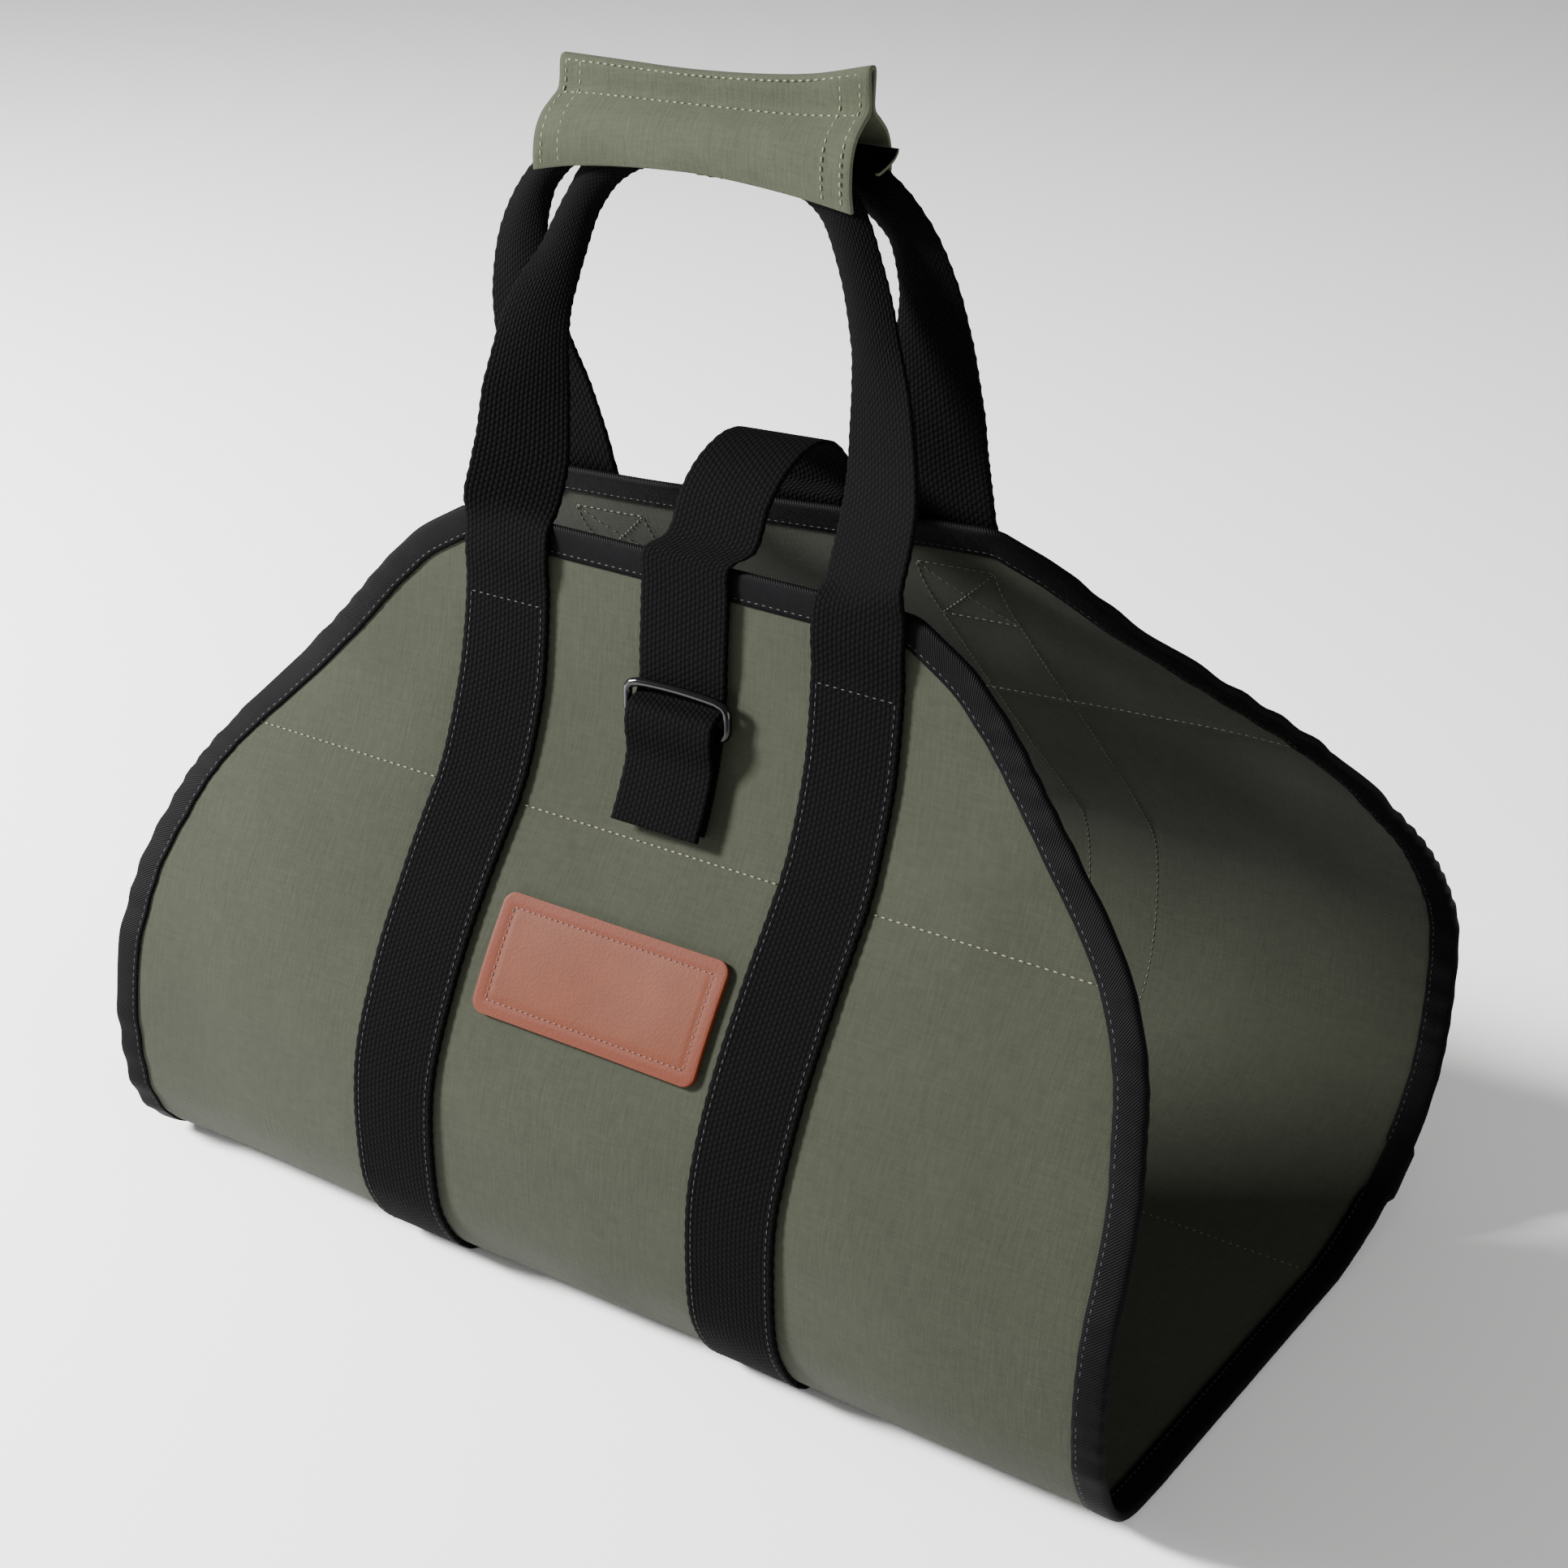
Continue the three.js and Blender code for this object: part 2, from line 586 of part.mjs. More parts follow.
// Hook-and-loop end of the sleeve that shows past its right end
function sleeveFlap() {
  const axis = sleeveAxis();
  const tip = SLEEVE_OFFSET + SLEEVE_LENGTH / 2 + FLAP_REACH;
  const wall = (SLEEVE_DEPTH * SLEEVE[3].depth) / 2 - SLEEVE_WALL;
  const outline = [
    [tip - FLAP_LENGTH, -0.5], [tip - FLAP_TIP, -0.5], [tip, -0.1], [tip, 0.4], [tip - FLAP_LENGTH, 0.5],
  ];
  const shape = new THREE.Shape(outline.map(([x, z]) => new THREE.Vector2(x, z * FLAP_HEIGHT)));
  const geometry = new THREE.ExtrudeGeometry(shape, { depth: WEBBING_THICKNESS, bevelEnabled: false });
  geometry.rotateX(Math.PI / 2);
  geometry.translate(0, axis.y + wall - GAP - FLAP_SETBACK, axis.z + FLAP_LIFT);
  return geometry;
}

// Closing strap: up the back panel, over the mouth, down the front behind the
// upper bar of the ring and out over the lower one
function closureStrap() {
  const half = WEBBING_THICKNESS / 2;
  const start = { edge: 0, ring: RING_DROP, bar: LOWER_BAR, end: TAIL_END };
  const rise = {
    tape: underBow(),
    eye: barRise() + RING_WIRE / 2 + GAP + TAB_THICKNESS + GAP + half,
    tab: 2 * TAB_THICKNESS + 3 * GAP + half,
  };
  const down = CLOSURE_LAY.map((row) => overSheet(CLOSURE_OFFSET, start[row.from] + row.run, rise[row.on]));
  const backRuns = runsBetween(SHEET_LENGTH - CLOSURE_SEAT, SHEET_LENGTH + EDGE_CLEARANCE);
  const up = sewnStations(CLOSURE_OFFSET + CLOSURE_SLANT, backRuns, -1);
  const edges = { back: up[up.length - 1].middle, front: down[0] };
  const arch = CLOSURE_CURVE.map((row) => new THREE.Vector3(
    CLOSURE_OFFSET + row.slant * CLOSURE_SLANT,
    THREE.MathUtils.lerp(edges.back.y, edges.front.y, row.forward),
    edges[row.edge].z + row.up * CLOSURE_ARCH,
  ));
  const path = new THREE.CatmullRomCurve3([edges.back, ...arch, edges.front], false, 'centripetal');
  const over = evenRuns(CLOSURE_STEP, 1 - CLOSURE_STEP, CLOSURE_STEP).map((share) => path.getPointAt(share));
  const backTilt = up[up.length - 1].across;
  const level = new THREE.Vector3(-1, 0, 0);
  const across = [
    ...up.map((station) => station.across),
    ...over.map((_, index) => backTilt.clone().lerp(level, index / over.length).normalize()),
    ...down.map(() => level),
  ];
  const points = [...up.map((station) => station.middle), ...over, ...down];
  return ribbonBody(followPath(points, across), WEBBING_THICKNESS);
}

// Rise of the closing strap's middle where it runs over the tape and behind
// the upper bar of the ring
function underBow() {
  return TAPE_GAP + TAPE_THICKNESS + GAP + WEBBING_THICKNESS / 2;
}

// Rise of the ring's lower bar inside the folded tab
function barRise() {
  return GAP + TAB_THICKNESS + GAP + RING_WIRE / 2;
}

// Rounded oblong ring lying on the sheet, its upper bar over the strap
function strapRing() {
  const wire = RING_WIRE / 2;
  const reach = RING_WIDTH / 2 - wire;
  const upperRise = underBow() + WEBBING_THICKNESS / 2 + GAP + wire;
  const corner = RING_CORNER;
  const shoulder = RING_DROP + RING_CROWN;
  const outline = new THREE.Path();
  outline.moveTo(0, LOWER_BAR);
  outline.lineTo(reach - corner / 2, LOWER_BAR);
  outline.quadraticCurveTo(reach, LOWER_BAR, reach, LOWER_BAR - corner);
  outline.lineTo(reach, shoulder + corner);
  outline.quadraticCurveTo(reach, shoulder, reach - corner, shoulder);
  outline.quadraticCurveTo(0, RING_DROP - RING_CROWN, corner - reach, shoulder);
  outline.quadraticCurveTo(-reach, shoulder, -reach, shoulder + corner);
  outline.lineTo(-reach, LOWER_BAR - corner);
  outline.quadraticCurveTo(-reach, LOWER_BAR, corner / 2 - reach, LOWER_BAR);
  outline.lineTo(0, LOWER_BAR);
  const places = outline.getSpacedPoints(RING_POINTS).slice(0, -1);
  const centres = places.map((place) => {
    const share = (place.y - RING_DROP) / (LOWER_BAR - RING_DROP);
    const rise = upperRise + share * (barRise() - upperRise);
    return overSheet(CLOSURE_OFFSET, place.y, rise).add(new THREE.Vector3(place.x, 0, 0));
  });
  const rings = centres.map((centre, index) => {
    const before = centres[(index + centres.length - 1) % centres.length];
    const after = centres[(index + 1) % centres.length];
    const along = new THREE.Vector3().subVectors(after, before).normalize();
    const side = new THREE.Vector3().crossVectors(along, outward(places[index].y)).normalize();
    const up = new THREE.Vector3().crossVectors(side, along);
    return evenRuns(0, RING_SIDES - 1, 1).map((step) => {
      const angle = (step * 2 * Math.PI) / RING_SIDES;
      return centre.clone()
        .addScaledVector(side, wire * Math.cos(angle))
        .addScaledVector(up, wire * Math.sin(angle));
    });
  });
  return joinedBody(rings);
}

// Stations of a strip that follows a path of points
function followPath(points, across) {
  return points.map((point, index) => {
    const before = points[Math.max(0, index - 1)];
    const after = points[Math.min(points.length - 1, index + 1)];
    const along = new THREE.Vector3().subVectors(after, before).normalize();
    const out = new THREE.Vector3().crossVectors(across[index], along).normalize();
    return { middle: point, across: across[index], out, width: WEBBING_WIDTH };
  });
}

// Tab sewn to the front panel and folded round the lower bar of the ring
function ringTab() {
  const half = TAB_THICKNESS / 2;
  const round = RING_WIRE / 2 + GAP + half;
  const under = GAP + half;
  const doubled = under + TAB_THICKNESS + GAP;
  const bend = (angle) => [LOWER_BAR - round * Math.sin(angle), barRise() - round * Math.cos(angle)];
  const release = THREE.MathUtils.degToRad(TAB_RELEASE);
  const [leaveRun, leaveRise] = bend(release);
  const landing = leaveRun + (leaveRise - doubled) / Math.tan(release - Math.PI);
  const way = [
    ...runsBetween(TAB_END, LOWER_BAR + TAB_FOLD).map((run) => [run, under]),
    ...evenRuns(0, release, FOLD_STEP).map(bend),
    ...runsBetween(landing, TAB_END).map((run) => [run, doubled]),
  ];
  const points = way.map(([run, rise]) => overSheet(CLOSURE_OFFSET + TAB_SHIFT, run, rise));
  const across = points.map(() => new THREE.Vector3(1, 0, 0));
  return ribbonBody(followPath(points, across), TAB_THICKNESS);
}

// Leather patch with rounded corners
function leatherPatch() {
  const start = PATCH_DROP;
  const end = PATCH_DROP + PATCH_HEIGHT;
  const rounding = evenRuns(0, Math.PI / 2, PATCH_CORNER_STEP)
    .map((angle) => PATCH_CORNER * (1 - Math.cos(angle)));
  const runs = [
    ...rounding.map((drop) => start + drop),
    ...runsBetween(start + PATCH_CORNER, end - PATCH_CORNER).slice(1, -1),
    ...[...rounding].reverse().map((drop) => end - drop),
  ];
  const half = (run) => {
    const fromEnd = Math.min(run - start, end - run, PATCH_CORNER);
    const short = PATCH_CORNER - Math.sqrt(PATCH_CORNER ** 2 - (PATCH_CORNER - fromEnd) ** 2);
    return PATCH_WIDTH / 2 - short;
  };
  return layOnSheet(runs, PATCH_COLUMNS, half, PATCH_OFFSET, GAP, GAP + PATCH_THICKNESS);
}

function piece(name, geometry, finish) {
  const mesh = new THREE.Mesh(geometry, new THREE.MeshStandardMaterial(finish));
  mesh.name = name;
  return mesh;
}

const frontMeeting = (SHEET_LENGTH - GAP) / 2;
const backMeeting = (SHEET_LENGTH + GAP) / 2;
const backEnd = SHEET_LENGTH + EDGE_CLEARANCE;
const carrier = new THREE.Group();
carrier.add(
  piece('canvas_body', canvasBody(), COLOURS.canvas),
  piece('edge_binding', edgeBinding(), COLOURS.tape),
  piece('front_webbing', webbingLoop(FRONT_LOOP, -1, frontMeeting, -EDGE_CLEARANCE, 0), COLOURS.webbing),
  piece('back_webbing', webbingLoop(BACK_LOOP, 1, backMeeting, backEnd, -SPLAY), COLOURS.webbing),
  piece('handle_wrap', handleSleeve(), COLOURS.sleeve),
  piece('wrap_flap', sleeveFlap(), COLOURS.webbing),
  piece('closure_strap', closureStrap(), COLOURS.webbing),
  piece('ring_tab', ringTab(), COLOURS.webbing),
  piece('strap_ring', strapRing(), COLOURS.enamel),
  piece('leather_patch', leatherPatch(), COLOURS.leather),
);

// Stand it on the floor with the middle of its footprint at the origin
carrier.updateMatrixWorld(true);
const bounds = new THREE.Box3().setFromObject(carrier, true);
const centre = bounds.getCenter(new THREE.Vector3());
carrier.position.set(-centre.x, -centre.y, -bounds.min.z);

export default carrier;
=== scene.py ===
import math

import bmesh
import bpy
import numpy as np
from bpy.props import FloatProperty, FloatVectorProperty, PointerProperty
from mathutils import Matrix, Vector, noise


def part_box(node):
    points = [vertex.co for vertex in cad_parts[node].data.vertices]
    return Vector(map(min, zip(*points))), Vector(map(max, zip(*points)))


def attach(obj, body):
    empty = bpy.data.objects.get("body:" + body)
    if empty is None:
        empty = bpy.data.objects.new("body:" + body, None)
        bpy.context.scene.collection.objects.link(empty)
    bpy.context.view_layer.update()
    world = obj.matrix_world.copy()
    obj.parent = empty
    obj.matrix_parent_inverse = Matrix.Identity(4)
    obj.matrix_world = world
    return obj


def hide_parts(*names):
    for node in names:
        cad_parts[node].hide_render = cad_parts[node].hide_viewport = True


bl_info = {
    "name": "Canvas Log Carrier",
    "version": (1, 0, 0),
    "blender": (4, 5, 0),
    "location": "3D View > Sidebar > Log Carrier",
    "description": "Sews the packed log carrier in canvas, webbing, tape and leather",
    "category": "Object",
}

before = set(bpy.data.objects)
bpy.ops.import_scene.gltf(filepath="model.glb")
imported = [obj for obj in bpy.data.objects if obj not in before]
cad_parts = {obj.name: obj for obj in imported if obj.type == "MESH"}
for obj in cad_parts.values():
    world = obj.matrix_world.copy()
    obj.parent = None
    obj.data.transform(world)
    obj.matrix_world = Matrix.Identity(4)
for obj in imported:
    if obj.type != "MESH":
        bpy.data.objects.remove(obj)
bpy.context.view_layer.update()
MM = 0.001


def node_size(node, axis):
    """Size of a CAD node along an axis, in metres."""
    low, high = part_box(node)
    return high[axis] - low[axis]


def table(columns, *rows):
    """Rows whose values go by the names of the columns."""
    return [dict(zip(columns.split(), row)) for row in rows]


# Sizes of the sheet, in metres
CANVAS_WIDTH = node_size("canvas_body", 0)
BODY_DEPTH = 296 * MM
BODY_HEIGHT = 280 * MM
TAPER_DROP = 200 * MM
SHIFT_Y = 0.87 * MM
SHIFT_Z = 0.15 * MM

# Webbing and handles
WEBBING_WIDTH = 38.5 * MM
WEBBING_WALL = 2 * MM
WEBBING_GAP = 0.3 * MM
WEBBING_LIFT = WEBBING_WALL + WEBBING_GAP
STRAP_SPACING = 156.6 * MM
HANDLE_RISE = 150 * MM
HANDLE_PITCH = 7 * MM
WEBBING_RIB = 1.9 * MM
WEBBING_PICK = 2.4 * MM
WEBBING_STEP = 1.6 * MM
WEBBING_SHARES = np.linspace(-1, 1, 15)
SELVEDGE_STEP = 0.22 * MM
TAPE_LIFT = 1.5 * MM
PAST_EDGE = 2.1 * MM
HANDLE_CURL = 3 * MM
SPLAY = 12 * MM
SPLAY_LENGTH = 40 * MM

# Edge tape: height of each face over the canvas, and the overlap of its ends
TAPE_FACE = 0.75 * MM
TAPE_LAP = 1.3 * MM
TAPE_LAP_FROM = 0.595
TAPE_LAP_TO = 0.625
TAPE_STEP = 3 * MM

# Sleeve
SLEEVE_LENGTH = node_size("handle_wrap", 0)
SLEEVE_HEIGHT = 44 * MM
SLEEVE_DEPTH = 26 * MM
SLEEVE_WALL = 2 * MM
SLEEVE_CLOTH = 1.6 * MM
SLEEVE_X = -26.5 * MM
SLEEVE_ROW = 0.66
FLAP_REACH = 9 * MM
FLAP_WALL = 1.2 * MM

# Closing strap, tab and ring
CLOSURE_X = 4 * MM
CLOSURE_SLANT = 10 * MM
CLOSURE_SEAT = 46 * MM
CLOSURE_ARCH = 27 * MM
TAIL_END = 99 * MM
TAB_END = 96 * MM
TAB_WALL = 1.8 * MM
RING_WIDTH = 48 * MM
RING_HEIGHT = 17 * MM
RING_CORNER = 3.5 * MM
RING_CROWN = 1.2 * MM
RING_WIRE = 3.5 * MM
RING_DROP = 46 * MM
LOWER_BAR = RING_DROP + RING_HEIGHT - RING_WIRE
EYE_TURN = 210

# Patch
PATCH_HEIGHT = 46.6 * MM
PATCH_WIDTH = node_size("leather_patch", 0)
PATCH_DROP = 136 * MM
PATCH_X = 1.5 * MM
PATCH_CORNER = 5 * MM
PATCH_WALL = 2 * MM
PATCH_INSET = 5.5 * MM

# Seams, as distances along the sheet from a top edge
SEAM_RUN = 104 * MM
FLOOR_SEAM_RUN = 480 * MM
STRAP_SEAM = 16.5 * MM
STRAP_SEAM_START = 30 * MM
STRAP_SEAM_STOPS = (0.42, 0.62)
SEAM_START = 8 * MM
BOX_LONG = 30 * MM
BAR_DROP = 12 * MM
SLEEVE_SEAM = 4 * MM
TAPE_SEAM = 1.8 * MM
PATCH_STITCH = 2.6 * MM
PATCH_THREAD = 0.8 * MM

# Section of the sheet from the front top edge round to the back one. y is a
# share of BODY_DEPTH, z of BODY_HEIGHT, lean of CANVAS_WIDTH, tilt is rise
# per length along X.
SECTION = table(
    "y z lean tilt",
    (-0.201, 1.000, -0.018, 0),
    (-0.245, 0.800, -0.006, 0),
    (-0.296, 0.678, 0, 0),
    (-0.378, 0.546, 0, 0),
    (-0.449, 0.421, 0, 0),
    (-0.494, 0.300, 0, 0),
    (-0.500, 0.190, 0, 0),
    (-0.485, 0.090, 0, 0),
    (-0.432, 0.016, 0, 0),
    (-0.345, 0, 0, 0),
    (-0.230, 0, 0, 0),
    (-0.080, 0, 0, 0),
    (0.070, 0, 0, 0),
    (0.176, 0, 0, 0),
    (0.328, 0.040, 0, 0),
    (0.422, 0.100, 0, 0),
    (0.482, 0.180, 0, 0),
    (0.500, 0.293, 0, 0),
    (0.478, 0.425, 0, 0),
    (0.412, 0.514, 0, 0),
    (0.267, 0.664, 0, 0.01),
    (0.079, 0.864, -0.004, 0.04),
    (0.008, 0.950, -0.008, 0.06),
    (-0.034, 1.040, -0.011, 0.075),
)

# Half width near the top edges: drop is a share of TAPER_DROP, half of the
# half width
TAPER = table(
    "drop half",
    (0, 0.440),
    (0.02, 0.470),
    (0.07, 0.543),
    (0.11, 0.580),
    (0.15, 0.615),
    (0.25, 0.687),
    (0.35, 0.761),
    (0.425, 0.818),
    (0.525, 0.884),
    (0.65, 0.941),
    (0.75, 0.967),
    (0.85, 0.989),
    (1, 1),
)

# Swells and hollows: x is a share of the half width, run of the sheet's
# length, out of BODY_DEPTH, wide and long are their reach
SWELLS = table(
    "x run out wide long",
    (-0.66, 0.14, 0.016, 0.30, 0.08),
    (0.66, 0.14, 0.014, 0.30, 0.08),
    (0, 0.07, -0.010, 0.32, 0.07),
    (-0.80, 0.28, -0.010, 0.30, 0.07),
    (0.78, 0.26, 0.010, 0.30, 0.08),
    (0.72, 0.86, 0.016, 0.32, 0.08),
    (-0.70, 0.85, 0.016, 0.32, 0.08),
    (0, 0.84, -0.010, 0.34, 0.10),
)

# Standing parts of the webbing loops: x is a share of half STRAP_SPACING, y of
# BODY_DEPTH, z of HANDLE_RISE over the front top edge, width of the webbing,
# turn is in degrees
FRONT_LOOP = table(
    "x y z width turn",
    (-1.12, -0.174, 0.150, 1.00, 20),
    (-1.15, -0.150, 0.310, 0.90, 20),
    (-1.14, -0.127, 0.500, 0.68, 12),
    (-1.07, -0.106, 0.630, 0.48, 6),
    (-0.98, -0.090, 0.770, 0.38, 2),
    (-0.86, -0.082, 0.865, 0.40, 0),
    (-0.66, -0.078, 0.930, 0.46, 0),
    (-0.30, -0.076, 0.937, 0.50, 0),
    (0.00, -0.076, 0.937, 0.50, 0),
    (0.24, -0.078, 0.919, 0.48, 0),
    (0.42, -0.084, 0.860, 0.46, 0),
    (0.58, -0.096, 0.720, 0.47, 0),
    (0.70, -0.112, 0.560, 0.56, 6),
    (0.80, -0.134, 0.390, 0.84, 14),
    (0.87, -0.160, 0.220, 1.00, 16),
)
BACK_LOOP = table(
    "x y z width turn",
    (0.90, -0.030, 0.250, 1.00, 0),
    (0.89, -0.040, 0.390, 0.96, 0),
    (0.86, -0.046, 0.560, 0.80, 0),
    (0.82, -0.050, 0.690, 0.60, 0),
    (0.70, -0.052, 0.820, 0.44, 0),
    (0.46, -0.052, 0.910, 0.44, 0),
    (0.15, -0.052, 0.931, 0.50, 0),
    (-0.30, -0.052, 0.931, 0.50, 0),
    (-0.80, -0.052, 0.940, 0.44, 0),
    (-1.14, -0.052, 0.890, 0.34, 0),
    (-1.34, -0.050, 0.790, 0.32, 0),
    (-1.47, -0.046, 0.640, 0.56, 0),
    (-1.49, -0.040, 0.480, 0.80, 0),
    (-1.44, -0.034, 0.340, 0.96, 0),
    (-1.35, -0.028, 0.220, 1.00, 0),
)

# Sleeve along its length: x is a share of SLEEVE_LENGTH, top and bottom of
# SLEEVE_HEIGHT from its axis, depth of SLEEVE_DEPTH, lean is its slant per height
SLEEVE = table(
    "x top bottom depth lean",
    (-0.50, 0.37, -0.57, 1.00, 0.16),
    (-0.36, 0.37, -0.48, 0.96, 0.08),
    (0.00, 0.38, -0.39, 0.92, 0),
    (0.30, 0.46, -0.43, 0.96, 0),
    (0.50, 0.60, -0.50, 1.04, 0),
)

# Its section from the open foot to the sewn ridge: reach is a share of the
# hollow's half depth outside the wall, up of the height
SLEEVE_SECTION = table(
    "reach up",
    (0.84, 0.00),
    (1.00, 0.16),
    (1.00, 0.36),
    (0.75, 0.52),
    (0.30, 0.63),
    (0.00, 0.70),
    (0.00, 1.00),
)

# Free arch of the closing strap: edge is the end that its height is counted
# from, slant a share of CLOSURE_SLANT, forward of the way to the front edge, up
# of CLOSURE_ARCH
CLOSURE_CURVE = table(
    "edge slant forward up",
    ("back", 1, -0.01, 0.25),
    ("back", 0.95, 0.08, 0.66),
    ("back", 0.8, 0.24, 0.96),
    ("back", 0.6, 0.42, 0.98),
    ("back", 0.4, 0.66, 0.75),
    ("back", 0.25, 0.83, 0.38),
    ("front", 0.1, 0.96, 0.28),
)

# The closing strap's lay on the front panel: run from a start in metres, on what it lies
CLOSURE_LAY = table(
    "start run on",
    ("edge", -PAST_EDGE, "bow"),
    ("edge", 10 * MM, "bow"),
    ("ring", -14 * MM, "bow"),
    ("ring", 3.5 * MM, "bow"),
    ("bar", -4 * MM, "eye"),
    ("bar", 3 * MM, "eye"),
    ("bar", 13 * MM, "tab"),
    ("tail", -12 * MM, "tab"),
    ("tail", 0, "tab"),
)

# Studio: lamps with their place and size in metres and power in watts
FLOOR_RADIUS = 14
LAMP_TARGET = Vector((0, 0, 0.15))
WORLD_STRENGTH = 0.36
LAMPS = table(
    "name place power size",
    ("key", (-2.05, -1.15, 1.35), 400, 0.5),
    ("fill", (2.0, -0.5, 0.7), 28, 1.2),
    ("left", (-0.95, -0.75, 0.3), 4, 0.4),
)

# Viewpoint that gives the photograph's perspective
CAMERA_PLACE = Vector((0.5505, -0.8342, 0.6304))
CAMERA_TURN = math.radians(33.432)
CAMERA_TILT = math.radians(24.523)
CAMERA_ROLL = math.radians(1.028)
CAMERA_LENS = 64.29


def linear(colour):
    """An sRGB hex colour as linear red, green and blue."""
    parts = [int(colour[place:place + 2], 16) / 255 for place in (1, 3, 5)]
    return tuple(
        part / 12.92 if part <= 0.04045 else ((part + 0.055) / 1.055) ** 2.4
        for part in parts
    )


def rgba(colour):
    return (*colour, 1.0)


class CarrierSizes(bpy.types.PropertyGroup):
    """Sizes of the cloth and its sewing."""

    canvas_wall: FloatProperty(
        name="Canvas", description="Thickness of the canvas",
        default=1.5 * MM, min=0.5 * MM, max=3 * MM, unit="LENGTH",
    )
    tape_width: FloatProperty(
        name="Tape", description="Width of the edge tape on each face",
        default=10 * MM, min=5 * MM, max=20 * MM, unit="LENGTH",
    )
    tape_wall: FloatProperty(
        name="Tape thickness", description="Thickness of the edge tape",
        default=0.8 * MM, min=0.3 * MM, max=1.2 * MM, unit="LENGTH",
    )
    stitch: FloatProperty(
        name="Stitch", description="Distance from one stitch to the next",
        default=3.2 * MM, min=2 * MM, max=8 * MM, unit="LENGTH",
    )
    thread: FloatProperty(
        name="Thread", description="Width of the sewing thread",
        default=0.65 * MM, min=0.3 * MM, max=1.5 * MM, unit="LENGTH",
    )
    drape: FloatProperty(
        name="Drape", description="Depth of the canvas's soft unevenness",
        default=1.3 * MM, min=0, max=4 * MM, unit="LENGTH",
    )
    pucker: FloatProperty(
        name="Pucker", description="Depth of the gathers along the tape",
        default=0.55 * MM, min=0, max=2 * MM, unit="LENGTH",
    )


class CarrierColours(bpy.types.PropertyGroup):
    """Colours of the cloth, leather and thread."""

    canvas: FloatVectorProperty(
        name="Canvas", description="Outside of the canvas", subtype="COLOR",
        size=3, min=0, max=1, default=linear("#2a2c23"),
    )
    # A little darker than the outside canvas: painted shade for the inside of the carrier
    canvas_inside: FloatVectorProperty(
        name="Inside", description="Inside of the canvas", subtype="COLOR",
        size=3, min=0, max=1, default=linear("#262820"),
    )
    sleeve: FloatVectorProperty(
        name="Sleeve", description="Canvas of the handle sleeve", subtype="COLOR",
        size=3, min=0, max=1, default=linear("#34372b"),
    )
    webbing: FloatVectorProperty(
        name="Webbing", description="Yarn of the straps", subtype="COLOR",
        size=3, min=0, max=1, default=linear("#040404"),
    )
    tape: FloatVectorProperty(
        name="Tape", description="Edge tape", subtype="COLOR",
        size=3, min=0, max=1, default=linear("#040405"),
    )
    leather: FloatVectorProperty(
        name="Leather", description="Face of the patch", subtype="COLOR",
        size=3, min=0, max=1, default=linear("#4a210e"),
    )
    thread: FloatVectorProperty(
        name="Thread", description="Thread that sews the canvas", subtype="COLOR",
        size=3, min=0, max=1, default=linear("#605e49"),
    )


def sizes():
    return bpy.context.scene.carrier_sizes


def colours():
    return bpy.context.scene.carrier_colours


# Curves and the sheet

def spline(points, steps=24):
    """Places on a smooth curve through the points, and the row that each is at."""
    points = np.asarray(points, float)
    ends = np.vstack([2 * points[0] - points[1], points, 2 * points[-1] - points[-2]])
    places = []
    rows = []
    for index in range(len(points) - 1):
        p0, p1, p2, p3 = ends[index:index + 4]
        d0, d1, d2 = (
            max(np.linalg.norm(b - a) ** 0.5, 1e-6)
            for a, b in ((p0, p1), (p1, p2), (p2, p3))
        )
        leave = ((p1 - p0) / d0 - (p2 - p0) / (d0 + d1) + (p2 - p1) / d1) * d1
        arrive = ((p2 - p1) / d1 - (p3 - p1) / (d1 + d2) + (p3 - p2) / d2) * d1
        for step in range(steps):
            t = step / steps
            bend = (3 * (p2 - p1) - 2 * leave - arrive) * t ** 2
            bend += (2 * (p1 - p2) + leave + arrive) * t ** 3
            places.append(p1 + leave * t + bend)
            rows.append(index + t)
    places.append(points[-1])
    rows.append(len(points) - 1)
    return np.array(places), np.array(rows)


def lengths(places):
    """Distance along a chain of places."""
    steps = np.linalg.norm(np.diff(places, axis=0), axis=1)
    return np.concatenate([[0], np.cumsum(steps)])


def spaced(places, step):
    """The chain of places again at even steps, with the old index of each."""
    runs = lengths(places)
    count = max(2, int(round(runs[-1] / step)) + 1)
    at = np.linspace(0, runs[-1], count)
    fresh = np.stack([np.interp(at, runs, places[:, axis]) for axis in range(3)], axis=1)
    return fresh, np.interp(at, runs, np.arange(len(places)))


def unit(vectors):
    return vectors / np.maximum(np.linalg.norm(vectors, axis=-1, keepdims=True), 1e-12)


def column(table, key):
    return np.array([row[key] for row in table], float)


def ease(share):
    held = np.clip(share, 0, 1)
    return held * held * (3 - 2 * held)


SECTION_PLACES, SECTION_ROWS = spline(
    np.stack([
        np.zeros(len(SECTION)),
        column(SECTION, "y") * BODY_DEPTH,
        column(SECTION, "z") * BODY_HEIGHT,
    ], axis=1),
    steps=60,
)
SECTION_RUNS = lengths(SECTION_PLACES)
SHEET_LENGTH = SECTION_RUNS[-1]
TAPER_PLACES = spline(
    np.stack([
        column(TAPER, "drop") * TAPER_DROP,
        column(TAPER, "half") * CANVAS_WIDTH / 2,
        np.zeros(len(TAPER)),
    ], axis=1),
)[0]


